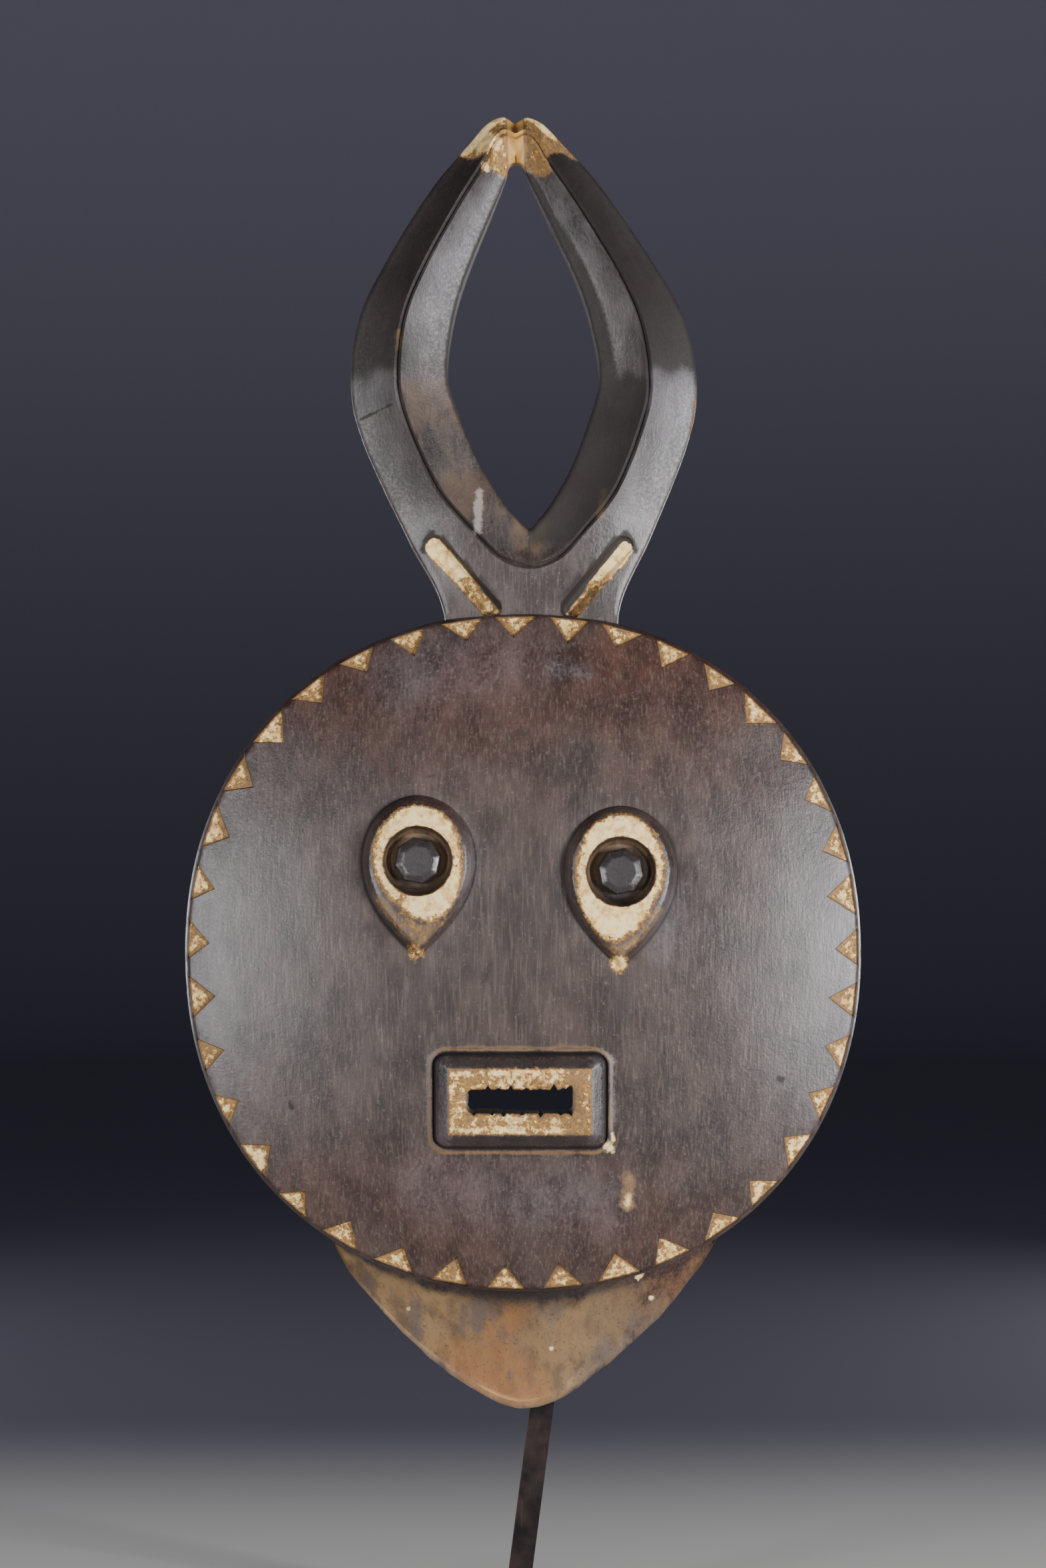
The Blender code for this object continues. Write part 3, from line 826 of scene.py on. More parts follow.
# Width as a share, height over the floor (None is clear of the wood) and the shift to the inner side.
EAR_STEPS = (
    (1.16, None, 0.0008),
    (1.16, 0.0042, 0.0008),
    (0.96, 0.0012, 0),
    (0.80, 0.0002, 0),
    (0.60, 0, 0),
    (0.40, 0, 0),
    (0.20, 0, 0),
)


def ear_line():
    return horn_point(EAR_TOP), horn_point(EAR_FOOT)


def ear_ring(width, shift, top, foot):
    """The outline of a long slot with round ends, as wide as this share of the ear."""
    along = unit(top - foot)
    across = turned(along)
    points = []
    for end, start in ((top, 0), (foot, math.pi)):
        for step in range(EAR_END_STEPS + 1):
            turn = start + math.pi * step / EAR_END_STEPS
            round_end = across * math.cos(turn) + along * math.sin(turn)
            points.append(end + EAR_WIDTH / 2 * width * round_end + across * shift)
    return divided(np.array(points), PLAN_GAP)


def make_ear(side):
    """Its inner wall is wide and slopes, and its outer wall is steep."""
    shape, layer = new_shape()
    rows = []
    for width, rise, shift in EAR_STEPS:
        ring = []
        for x, z in ear_ring(width, shift, *ear_line()):
            level = NECK_SETBACK - KNEE_FORWARD * math.sin(math.pi * (z - HALF[1]) / HORN_RISE)
            floor = level + math.tan(EAR_SLOPE) * abs(x) + EAR_DEPTH
            ring.append((lean(side * x, z), -EAR_REACH if rise is None else floor - rise, z))
        rows.append(add_points(shape, layer, ring, "horns"))
    add_faces(shape, rows)
    shape.faces.new(rows[0])
    shape.faces.new(rows[-1])
    return to_object("ear", shape)


# %% Join the horns and cut the ears
def carve(obj, operation, other):
    """Applies one exact Boolean with another object, which is then thrown away."""
    cut = obj.modifiers.new(operation, "BOOLEAN")
    cut.operation = operation
    cut.solver = "EXACT"
    cut.object = other
    result = bpy.data.meshes.new_from_object(obj.evaluated_get(bpy.context.evaluated_depsgraph_get()))
    obj.modifiers.remove(cut)
    obj.data = result
    bpy.data.objects.remove(other)


SAME_PLACE = 1e-5


def known_points(mesh):
    tree = kdtree.KDTree(len(mesh.vertices))
    for vertex in mesh.vertices:
        tree.insert(vertex.co, vertex.index)
    tree.balance()
    return tree


def find_regions(mesh, tree, numbers):
    """A union mixes up the numbers: the body's points get their own back, and the rest is horn."""
    regions = np.full(len(mesh.vertices), REGIONS["horns"], np.float32)
    for vertex in mesh.vertices:
        _, index, distance = tree.find(vertex.co)
        if distance < SAME_PLACE:
            regions[vertex.index] = numbers[index]
    mesh.attributes["region"].data.foreach_set("value", regions)
    print("horns:", int((regions == REGIONS["horns"]).sum()), "of", len(regions), "points")


body_points, body_regions = known_points(mask.data), read(mask.data, "region")
for side in (-1, 1):
    carve(horns, "DIFFERENCE", make_ear(side))
carve(mask, "UNION", horns)
find_regions(mask.data, body_points, body_regions)

# %% [markdown]
# Marks of the tools.
#
# A knife leaves the horns in small flat strokes, an adze leaves broad ones on the outside of the
# collar, and a gouge leaves deep scoops in the hollow. Each scoop is a shallow bowl with a sharp border
# to the next one, which is the shape of Voronoi distance. The disc was scraped smooth, so it only
# swells a little. The points are moved along their normals, each by the measure of its own region.

# %% Move the points
# Size of one stroke along x, y and z, depth of its bowl and depth of the slow swell, for each region.
STROKES = {
    "front": ((0.024, 0.024, 0.040), 0.00010, 0.00035),
    "edge": ((0.012, 0.012, 0.012), 0.00015, 0.00025),
    "outside": ((0.013, 0.020, 0.017), 0.00060, 0.00060),
    "hollow": ((0.013, 0.013, 0.020), 0.00140, 0.00100),
    "horns": ((0.010, 0.014, 0.019), 0.00040, 0.00045),
}
SWELL_SIZE = 0.035
# The square of the distance from a stroke's middle where its bowl crosses the old surface.
BOWL_BORDER = 0.35


def stroke_depth(point, size, bowl, swell):
    cell = Vector([c / s for c, s in zip(point, size)])
    nearest = noise.voronoi(cell)[0][0]
    return bowl * (BOWL_BORDER - nearest**2) + swell * noise.noise(point / SWELL_SIZE)


def places(mesh):
    values = np.zeros(len(mesh.vertices) * 3, np.float32)
    mesh.vertices.foreach_get("co", values)
    return values.reshape(-1, 3).astype(float)


def normals(mesh):
    return np.array([tuple(vertex.normal) for vertex in mesh.vertices])


def add_tool_marks(mesh):
    region = np.rint(read(mesh, "region")).astype(int)
    strokes = [STROKES[name] for name in sorted(REGIONS, key=REGIONS.get)]
    co, normal = places(mesh), normals(mesh)
    depth = np.array([stroke_depth(Vector(p), *strokes[r]) for p, r in zip(co, region)])
    # The steep walls of the carving on the front stay crisp.
    keep = np.where(region == REGIONS["front"], np.abs(normal[:, 1]), 1)
    mesh.vertices.foreach_set("co", (co - normal * (depth * keep)[:, None]).astype(np.float32).ravel())
    mesh.update()
    print("tool marks up to", round(float(np.abs(depth).max()) * 1000, 2), "mm")


add_tool_marks(mask.data)

# %% [markdown]
# Where the paint, dirt, painted shade and bare wood are.
#
# The material needs to know what each point of the carving is: painted, dirty or rubbed bare, and
# where shade and sheen are painted into its colour. The same formulas that shaped the carving tell it,
# so the colours follow the cuts exactly. They are kept as attributes on the mesh, from 0 to 1, and the
# material breaks them up with noise into flakes and spots.
# Three more say which points are inside the hollow, outside on the collar, or facing forwards, because
# some colours and all the small marks belong to only one of these.
#
# The distances in these masks are in metres and in pairs: where a finish starts and where it is full.

# %% Helpers for the attributes
def ease(value, low, high):
    """0 at low and 1 at high, with a soft start and end. low may be the larger one."""
    t = np.clip((value - low) / (high - low), 0, 1)
    return t * t * (3 - 2 * t)


def band(value, at, width):
    """1 where the value is at its place, and soon 0 on both sides of it."""
    return np.exp(-(((value - at) / width) ** 2))


def write(mesh, name, values):
    layer = mesh.attributes.new(name, "FLOAT", "POINT")
    layer.data.foreach_set("value", np.clip(values, 0, 1).astype(np.float32))
    print(name, "covers", round(float((values > 0.5).mean()) * 100, 1), "% of the points")


def line_distance(plan, a, b):
    along = np.clip(((plan - a) @ (b - a)) / ((b - a) @ (b - a)), 0, 1)
    return np.hypot(*(plan - a - along[:, None] * (b - a)).T)


# %% Masks of the eyes, the mouth and the notches
# How far the paint reaches from an eye's middle: to the sides, up and down, and its lower end's tilt.
EYE_PAINT = {-1: (0.0252, 0.0318, 0.0322, 0.25), 1: (0.0250, 0.0335, 0.0375, -0.36)}
TAIL_END = np.array((-0.001, -0.0490))


def eye_masks(plan, side):
    wide, up, down, tilt = EYE_PAINT[side]
    offset = plan - eye_middle(side)
    x, z = offset.T
    share, reach = eye_share(plan, side), np.hypot(x, z)
    tilted = z + tilt * x * ease(-z, 0, 0.015)
    oval = np.hypot(x / wide, tilted / np.where(tilted > 0, up, down))
    ring = ease(oval, 1.14, 0.80) * ease(share, 0.97, 0.80) * ease(reach, 0.0176, 0.0196)
    if side < 0:
        worn = 0.26 * ease(-x, 0, 0.008) * ease(-z, 0.008, 0.020)
    else:
        worn = 0.16 * ease(x, 0.010, 0.018)
    worn = np.maximum(worn, 0.12 * ease(np.abs(x), 0.016, 0.022))
    tail = ease(share, 0.97, 0.88) * ease(oval, 0.90, 1.06) * ease(-z, 0.012, 0.022)
    blob = ease(np.hypot(*(offset - TAIL_END).T), 0.0090, 0) * (0.92 if side > 0 else 0.56)
    paint = np.maximum.reduce([ring * (0.82 - worn), 0.28 * tail, blob])
    peg = ease(flat_reach(offset, side), 0.0119, 0.0106)
    # Painted shade: the moat darkens, most low down, and a dark line runs round the drop's foot.
    moat_shade = ease(reach, 0.0186, 0.0172) * (1 - peg) * (0.12 + 0.46 * ease(-z, -0.002, 0.012))
    shade_side = 0.80 - 0.60 * ease(x, -0.006, 0.010) if side < 0 else 0.55
    foot = shade_side * band(share, 1.0, 0.040 if side < 0 else 0.028)
    dirt = np.maximum.reduce([moat_shade, 0.30 * peg, foot])
    bare = np.maximum.reduce([0.50 * tail, 0.60 * ring, 0.50 * ease(reach, 0.0190, 0.0170) * (1 - peg)])
    return paint, dirt, bare, peg * ease(reach, 0.0118, 0.0108), np.zeros(len(plan))


def mouth_masks(plan):
    inset, slot = mouth_inset(plan), slot_inset(plan)
    x = plan[:, 0] - MOUTH_AT[0]
    crest = ease(inset, 0.0076, 0.0116) * ease(slot, 0.0016, -0.0008)
    rim = ease(inset, 0.0150, 0.0120)
    level = 0.48 + 0.12 * rim - 0.10 * ease(x, 0.022, 0.030)
    level += 0.10 * ease(np.abs(x + 0.006), 0.016, 0.002)
    at_side = ease(np.abs(x), 0.035, 0.039)
    # Painted shade in the scored line, on the top and bottom bevels and round the slot.
    scored = band(inset, 0.0021, 0.0009)
    lip = 0.58 * band(inset, -0.0006, 0.0020)
    bevel_shade = ease(inset, 0.0034, 0.0046) * ease(inset, 0.0100, 0.0088)
    # Painted highlights: two bright lines down each side bevel, laid as sheen and polish.
    painted_highlight = np.maximum(band(inset, 0.0040, 0.0007), band(inset, 0.0080, 0.0007)) * at_side
    slot_shade = 0.75 * ease(slot, -0.0012, 0.0002)
    dirt = np.maximum.reduce([scored, bevel_shade * (0.60 - 0.40 * at_side), slot_shade]) * (1 - painted_highlight)
    return crest * level, dirt, np.maximum(lip, crest * 0.80), painted_highlight, painted_highlight


# The least and the most paint left in a notch.
NOTCH_PAINT = (0.50, 0.64)


def notch_masks(plan):
    chance = random.Random(NOTCH_COUNT)
    paint, dirt, bare = np.zeros((3, len(plan)))
    for corners in NOTCHES:
        inset = notch_inset(plan, corners)
        level = chance.uniform(*NOTCH_PAINT)
        paint = np.maximum(paint, level * ease(inset, -0.0006, 0.0012))
        bare = np.maximum(bare, 0.70 * ease(inset, -0.0004, 0.0006))
        # Painted shade along each notch's sunk walls.
        dirt = np.maximum(dirt, 0.55 * band(inset, -0.0004, 0.0006))
    return paint, dirt, bare, np.zeros(len(plan)), np.zeros(len(plan))


# %% [markdown]
# Each facet of the horns has its own colour. The ones turned down towards the low side lamps get a
# painted grey sheen, and the ones turned up and away from them get painted shade, nearly black, over
# the wood's own dark mottling. A knee half way up and the ridge along the middle part them, so the
# masks need two things: how high a point is, and how far it is past the ridge.

# %% Masks of the horns
TIP_PAINT_FROM = 0.918
KNEE_RISE = 0.482
# How high up the horn, and how strong the painted grey sheen on the facet is there: below the knee
# and above it, left and right.
GREY_SHEEN_BELOW = {-1: ((0.06, 0.25, 0.40, 0.47), (0.10, 0.10, 0.40, 0.90))}
GREY_SHEEN_BELOW[1] = ((0.06, 0.25, 0.40, 0.47), (0.15, 0.50, 0.72, 1.0))
GREY_SHEEN_ABOVE = {-1: ((0.48, 0.62, 0.76, 0.92), (0.15, 0.65, 0.90, 0.45))}
GREY_SHEEN_ABOVE[1] = ((0.48, 0.62, 0.80, 0.92), (0.10, 0.30, 0.75, 0.25))
BLACK_STRIP = ((0.10, 0.30, 0.46, 0.70, 0.92), (0.0, 0.004, 0.0100, 0.0080, 0.0035))
# How far the cream reaches to the inner side of each ear, as a share of half its width.
EAR_CREAM = {-1: 0.98, 1: 0.55}


def past_line(x, rise, column):
    """How far outwards a point is from a line of the horn: 0 outer edge, 1 ridge and 2 inner edge."""
    line = np.array([row[column] for row in HORN_ROWS[:-1] if row[column][1] is not None])
    return np.abs(x) - HORN_SPAN / 2 * np.interp(rise, line[:, 1], line[:, 0])


def ear_masks(x, z, rise):
    top, foot = ear_line()
    place = np.stack([np.abs(x), z], -1)
    far = line_distance(place, top, foot) / (EAR_WIDTH / 2)
    along = unit(top - foot)
    inwards = (place - foot) @ turned(along) / (EAR_WIDTH / 2)
    past_top = np.maximum((place - top) @ along / (EAR_WIDTH / 2), 0)
    cream_to = np.where(x < 0, EAR_CREAM[-1], EAR_CREAM[1]) - 0.25 * ease(rise, 0.08, 0.02)
    half = (1.05 + cream_to) / 2
    cream = np.hypot(inwards - (cream_to - half), past_top + 0.25) / half
    paint = ease(cream, 1.06, 0.92) * ease(far, 1.12, 1.02) * (0.48 + 0.40 * ease(rise, 0.050, 0.100))
    on_inner_side = np.maximum(ease(inwards, 0, 0.2), past_top > 0)
    # Painted shadow on the ear's deep inner and upper wall.
    wall_shadow = ease(cream, 0.96, 1.08) * ease(far, 1.46, 1.30) * on_inner_side
    return paint, wall_shadow, far


def horn_masks(plan, normal):
    z = plan[:, 1]
    x = plan[:, 0] - lean(0, z)
    side = np.where(x < 0, -1, 1)
    rise = (z - HALF[1]) / HORN_RISE
    past_ridge = past_line(x, rise, 1)
    in_front = ease(-normal[:, 1], 0.05, 0.35)
    outer = ease(past_ridge, -0.0008, 0.0008)
    knee = KNEE_RISE + np.where(side < 0, 0.9, -0.2) * np.clip(0.010 - past_ridge, -0.02, 0.01)
    softness = np.where(outer > 0.5, np.where(side < 0, 0.018, 0.030), 0.042)
    above = ease(rise + 0.006 * np.sin(x / 0.0024), knee - softness, knee + softness)
    tip_from = TIP_PAINT_FROM - 0.036 * (1 - outer) + 0.008 * np.sin(x / 0.003)
    tip = ease(rise, tip_from - 0.008, tip_from + 0.008)
    strip_width = np.interp(rise, *BLACK_STRIP) * np.where(side < 0, 0.25, 1)
    strip = (1 - outer) * ease(past_line(x, rise, 2), strip_width + 0.0012, strip_width - 0.0012)
    ear, wall_shadow, far = ear_masks(x, z, rise)

    def by_side(table):
        return np.where(side < 0, np.interp(rise, *table[-1]), np.interp(rise, *table[1]))

    # Painted sheen: grey on the facets turned down towards the low side lamps.
    bloom_and_sheen = outer * (1 - above) * by_side(GREY_SHEEN_BELOW)
    bloom_and_sheen += (1 - outer) * above * (1 - strip) * by_side(GREY_SHEEN_ABOVE)
    olive = (1 - outer) * (1 - above) * (side < 0) * ease(rise, 0.12, 0.20)
    # Painted shade: the facets turned up and away from the lamps go nearly black, over real mottling.
    black_and_shade = outer * above * np.where(side < 0, 0.66, 0.95)
    black_and_shade += (1 - outer) * (1 - above) * (1 - olive) * ease(rise, 0.10, 0.17)
    speckled = np.where(side < 0, 0.42, 0.38) * ease(rise, 0.12, 0.24)
    black_and_shade = np.maximum.reduce([black_and_shade, 0.80 * strip, 0.38 * olive, speckled])
    # Painted shade in the groove along the ridge.
    groove_shade = band(past_ridge, 0, 0.0015) * ease(rise, 0.72, 0.50) * ease(rise, 0.085, 0.10)
    clear = (1 - tip) * in_front * ease(far, 0.9, 1.1)
    worn_edge = ease(-normal[:, 1], 0.30, 0.45) * ease(-normal[:, 1], 0.86, 0.74) * clear
    worn_edge *= ease(past_ridge, 0.008, 0.012) * ease(rise, 0.10, 0.20)
    bridge = ease(np.abs(x), 0.0055, 0.0035)
    from_edge = past_line(x, rise, 0) + 0.0006
    crown = ease(from_edge, -0.0052, -0.0030) * np.where(side < 0, 1, ease(rise, 0.950, 0.962))
    flakes = tip * (0.46 - 0.07 * (side > 0) + 0.45 * crown) * (1 - bridge)
    heart = ease(np.hypot(x / 0.016, (rise - 0.17) / 0.07), 1.2, 0.5)
    paint = in_front * np.maximum(ear, flakes)
    dirt = np.maximum.reduce([black_and_shade * clear, 0.85 * groove_shade * clear, wall_shadow * in_front])
    rubbed = 0.46 * np.maximum(worn_edge, heart)
    bare = np.maximum.reduce([tip * (0.70 + 0.30 * bridge), 0.40 * olive, rubbed, ear])
    return paint, dirt, bare, np.maximum(bloom_and_sheen, 0.15 * olive) * clear


# %% Masks of the chin and the disc
CHIN_LIP = 0.0032


def chin_masks(plan, y):
    x, z = plan.T
    below = disc_share(plan)
    low = ease(z, -0.08, -0.15)
    middle = ease(np.abs(x + 0.004), 0.085, 0.035)
    # Painted shadow on the collar just under the disc's lower edge.
    disc_shadow = 0.95 * low * ease(y, RIM_THICKNESS + 0.030, RIM_THICKNESS)
    disc_shadow *= ease(below, 1.05 + 0.18 * middle, 1.03)
    rubbed = 0.62 + 0.12 * ease(-x, 0.02, 0.07) - 0.16 * ease(x, 0.02, 0.09)
    back = CHIN_DEPTH + (COLLAR_DEPTH - CHIN_DEPTH) * (z + CHIN_DROP) / (COLLAR_TOP + CHIN_DROP)
    lip = ease(back - y, CHIN_LIP * 2.4, 0) * ease(z, -0.222, -0.243)
    bare = np.maximum.reduce([np.full(len(z), 0.30), low * rubbed * ease(below, 1.0, 1.06), lip])
    return disc_shadow, bare, np.maximum(0.3, 0.9 * low * ease(x, 0.02, 0.09))


# Stains under the eyes, grey scuffs and one painted highlight beside the right eye: start, end, width
# and strength, from the disc's middle.
STAINS = (
    ((-0.0560, -0.0030), (-0.0555, -0.0330), 0.012, 0.5),
    ((0.0535, -0.0080), (0.0530, -0.0360), 0.012, 0.5),
)
SCUFFS_AND_HIGHLIGHT = (
    ((-0.0640, 0.1500), (-0.0100, 0.1580), 0.034, 0.34),
    ((-0.0500, -0.1250), (0.0400, -0.1360), 0.032, 0.30),
    ((0.0150, 0.1540), (0.0330, 0.1510), 0.007, 0.6),
    # A painted highlight: the light where the ground beside the right eye turns.
    ((0.0830, 0.0330), (0.0740, 0.0040), 0.014, 0.5),
    ((-0.0290, 0.0600), (-0.0330, 0.0300), 0.010, 0.4),
)


def soft_marks(plan, marks):
    total = np.zeros(len(plan))
    for start, end, width, strength in marks:
        far = line_distance(plan, np.array(start), np.array(end))
        total = np.maximum(total, strength * ease(far, width, 0))
    return total


def disc_masks(plan):
    x, z = plan.T
    red = np.maximum(0.15, np.maximum(ease(z, 0.03, 0.17), 0.62 * ease(-z, 0.07, 0.14)))
    # Painted sheen: grey on the disc's left and right slopes, where the side lamps reflect.
    rim_sheen = 0.3 * ease(np.abs(x), 0.12, 0.18) * ease(np.abs(z + 0.01), 0.150, 0.08)
    return soft_marks(plan, STAINS), np.maximum(rim_sheen, soft_marks(plan, SCUFFS_AND_HIGHLIGHT)), red


# %% Put the masks on the mesh
def paint_the_mask(mesh):
    co, normal = places(mesh), normals(mesh)
    plan = co[:, [0, 2]]
    region = np.rint(read(mesh, "region")).astype(int)
    part = {name: region == number for name, number in REGIONS.items()}
    layers = {name: np.zeros(len(co)) for name in ("paint", "dirt", "bare", "bloom_and_sheen", "red", "polish")}

    def lay(where, **masks):
        for name, values in masks.items():
            layers[name] = np.maximum(layers[name], part[where] * values)

    for masks in (eye_masks(plan, -1), eye_masks(plan, 1), mouth_masks(plan), notch_masks(plan)):
        lay("front", **dict(zip(("paint", "dirt", "bare", "polish", "bloom_and_sheen"), masks)))
    lay("horns", **dict(zip(("paint", "dirt", "bare", "bloom_and_sheen"), horn_masks(plan, normal))))
    lay("outside", **dict(zip(("dirt", "bare", "red"), chin_masks(plan, co[:, 1]))))
    lay("front", **dict(zip(("dirt", "bloom_and_sheen", "red"), disc_masks(plan))))
    lay("edge", bare=0.45, dirt=0.35)
    lay("hollow", bare=0.45)
    for name, values in layers.items():
        write(mesh, name, values)
    write(mesh, "inside", part["hollow"] * 1.0)
    write(mesh, "outside", part["outside"] * 1.0)
    write(mesh, "facing", ease(-normal[:, 1], 0, 0.25) * ~part["hollow"])


paint_the_mask(mask.data)

# %% Move the mask to its place
SHARP_FROM = math.radians(38)
mask.data.transform(Matrix.Translation(MIDDLE))
mask.data.shade_smooth()
mask.data.set_sharp_from_angle(angle=SHARP_FROM)
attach(mask, "root")
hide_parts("mask")
print("mask moved so that its middle is at", [round(v * 1000) for v in MIDDLE], "mm")

# %% [markdown]
# A short way to write materials.
#
# Node materials are long when every link is written out. A few small helpers keep them readable: one
# makes a node and links or sets its inputs, one writes noise, one turns a range of a value into 0 to 1,
# and one lays a coat of colour over another. Colours are given as they look on a screen, from 0 to 255,
# and turned into light values.

# %% Material helpers
def colour(red, green, blue):
    values = [c / 255 for c in (red, green, blue)]
    return (*[c / 12.92 if c < 0.04045 else ((c + 0.055) / 1.055) ** 2.4 for c in values], 1)


class Finish:
    """A material being made from nodes."""

    def __init__(self, name):
        self.material = bpy.data.materials.new(name)
        self.material.use_nodes = True
        self.tree = self.material.node_tree
        self.shader = self.tree.nodes["Principled BSDF"]
        self.place = self.add("TexCoord").outputs["Object"]

    def add(self, kind, inputs=None, **settings):
        made = self.tree.nodes.new("ShaderNode" + kind)
        for name, value in settings.items():
            setattr(made, name, value)
        for key, value in (inputs or {}).items():
            self.give(made.inputs[key], value)
        return made

    def give(self, socket, value):
        if isinstance(value, bpy.types.NodeSocket):
            self.tree.links.new(value, socket)
        else:
            socket.default_value = value

    def sum(self, kind, a, b=0.0, clamp=False):
        return self.add("Math", {0: a, 1: b}, operation=kind, use_clamp=clamp).outputs[0]

    def noise(self, size, detail=3.0, rough=0.55, stretch=(1, 1, 1), turn=0.0):
        """Noise with features about as large as size, in metres."""
        scale = [1 / (size * s) for s in stretch]
        place = self.add("Mapping", {"Vector": self.place, "Scale": scale, "Location": (turn,) * 3})
        inputs = {"Vector": place.outputs[0], "Scale": 1.0, "Detail": detail, "Roughness": rough}
        return self.add("TexNoise", inputs).outputs[0]

    def ramp(self, value, low, high):
        inputs = {"Value": value, "From Min": low, "From Max": high}
        return self.add("MapRange", inputs, interpolation_type="SMOOTHSTEP").outputs[0]

    def mix(self, share, a, b):
        return self.add("Mix", {0: share, 6: a, 7: b}, data_type="RGBA").outputs[2]

    def coat(self, base, share, strength, over):
        """The base with another colour laid over it, never stronger than strength."""
        return self.mix(self.sum("MULTIPLY", share, strength), base, over)

    def gathered(self, kind, *pairs):
        """Some values, each times its own weight, joined by one kind of sum."""
        total = 0.0
        for value, weight in pairs:
            total = self.sum(kind, total, self.sum("MULTIPLY", value, weight))
        return total

    def attribute(self, name):
        return self.add("Attribute", attribute_name=name).outputs["Fac"]

    def wear(self, name, spread, grit, edge=0.04):
        """An attribute broken up by noise: spread is how far the noise may push it."""
        pushed = self.sum("MULTIPLY", self.sum("SUBTRACT", grit, 0.5), spread)
        level = self.sum("ADD", self.attribute(name), pushed)
        return self.ramp(level, 0.5 - edge, 0.5 + edge)


# %% [markdown]
# Small marks.
#
# A real surface is also known by its accidents: a crack across one horn, chips on the ridges, drips of
# paint under the mouth, white dots on the chin. Each is a short stroke from one point to another, with
# a width and a ragged edge. The material measures the distance to the stroke from the surface's own
# coordinates, so the marks are sharper than the mesh's points would allow.

# %% Strokes
# For each kind: start and end as (x, z) from the disc's middle, the width, and how soft its border is.
MARKS = {
    "dark": (
        ((-0.0878, 0.2884), (-0.0706, 0.2956), 0.0016, 0.5),
        ((0.1382, -0.0680), (0.1386, -0.0684), 0.0034, 0.5),
        ((-0.1256, -0.0804), (-0.1240, -0.0830), 0.0026, 0.5),
    ),
    "pale": (((-0.0236, 0.2490), (-0.0246, 0.2280), 0.0040, 0.5),),
    "ochre": (
        ((-0.0673, 0.3344), (-0.0673, 0.3262), 0.0036, 0.6),
        ((0.0934, 0.2984), (0.0909, 0.2804), 0.0020, 0.7),
        ((0.0437, 0.2480), (0.0410, 0.2365), 0.0034, 0.7),
        ((0.0568, -0.1200), (0.0560, -0.1350), 0.0052, 1.0),
    ),
    "cream": (
        ((0.0634, -0.1778), (0.0636, -0.1776), 0.0046, 0.3),
        ((0.0706, -0.1919), (0.0708, -0.1919), 0.0022, 0.4),
        ((0.0155, -0.2189), (0.0157, -0.2189), 0.0022, 0.4),
        ((-0.0630, -0.1976), (-0.0628, -0.1976), 0.0022, 0.4),
        ((-0.0215, 0.4360), (-0.0188, 0.4395), 0.0075, 0.3),
        ((-0.0145, 0.4350), (-0.0132, 0.4385), 0.0034, 0.4),
        ((-0.0200, 0.4240), (-0.0205, 0.4250), 0.0036, 0.4),
        ((0.0452, -0.1020), (0.0466, -0.1040), 0.0042, 0.7),
        ((0.0476, -0.0960), (0.0482, -0.0995), 0.0016, 0.8),
        ((0.0566, -0.1300), (0.0562, -0.1340), 0.0026, 1.0),
    ),
}
RAGGEDNESS = 2.2


def stroke(f, flat, ragged, start, end, width, soft):
    a, b = (Vector((x, 0, MIDDLE.z + z)) for x, z in (start, end))
    offset = f.add("VectorMath", {0: flat, 1: a}, operation="SUBTRACT").outputs[0]
    reach = (b - a) / (b - a).length_squared
    along = f.add("VectorMath", {0: offset, 1: reach}, operation="DOT_PRODUCT")
    share = f.sum("MULTIPLY", along.outputs["Value"], 1.0, clamp=True)
    nearest = f.add("VectorMath", {0: b - a, "Scale": share}, operation="SCALE").outputs[0]
    far = f.add("VectorMath", {0: offset, 1: nearest}, operation="DISTANCE").outputs["Value"]
    torn = f.sum("ADD", far, f.sum("MULTIPLY", ragged, width * RAGGEDNESS))
    return f.ramp(torn, width / 2 * (1 + soft), width / 2 * (1 - soft))


def strokes(f, kind, grit):
    flat = f.add("VectorMath", {0: f.place, 1: (1, 0, 1)}, operation="MULTIPLY").outputs[0]
    ragged = f.sum("SUBTRACT", grit, 0.5)
    total = 0.0
    for mark in MARKS[kind]:
        total = f.sum("MAXIMUM", total, stroke(f, flat, ragged, *mark))
    return f.sum("MULTIPLY", total, f.attribute("facing"))


print(sum(len(kind) for kind in MARKS.values()), "small marks")

# %% [markdown]
# The mask's surface.
#
# On the real mask the wood is dark and waxed, with fine upright grain, a red-brown cast near the top
# and a few grey scuffs. A grey sheen on the slopes turned to the side lamps is painted into the colour,
# and so is shade in the recesses and on what faces away, over the real dirt. Cream paint lies thick in
# the cuts and flakes off in small crumbs. The chin is rubbed to ochre. All of it is one material,
# because it is one piece of wood: each finish is laid over the one below with its own mask.

# %% The wood
def wood_colour(f, grain, mottle, speck, cloud):
    patches = f.ramp(mottle, 0.32, 0.70)
    wood = f.mix(patches, colour(42, 34, 32), colour(70, 59, 55))
    red_brown = f.mix(patches, colour(54, 29, 23), colour(84, 52, 41))
    red = f.sum("MULTIPLY", f.attribute("red"), f.ramp(cloud, 0.30, 0.60))
    wood = f.coat(wood, red, 0.75, red_brown)
    wood = f.coat(wood, f.ramp(grain, 0.45, 0.75), 0.45, colour(108, 94, 86))
    wood = f.coat(wood, f.ramp(speck, 0.58, 0.75), 0.35, colour(136, 124, 116))
    wood = f.coat(wood, f.ramp(speck, 0.42, 0.25), 0.6, colour(26, 20, 19))
    # Grey laid where the sheen mask is high: painted sheen of the side lamps, and real grey scuffs.
    patchy = f.sum("MULTIPLY", f.sum("ADD", mottle, speck), 0.5)
    bloom_and_sheen = f.sum("MULTIPLY", f.attribute("bloom_and_sheen"), f.ramp(patchy, 0.30, 0.66))
    return f.coat(wood, bloom_and_sheen, 0.55, colour(134, 131, 138))


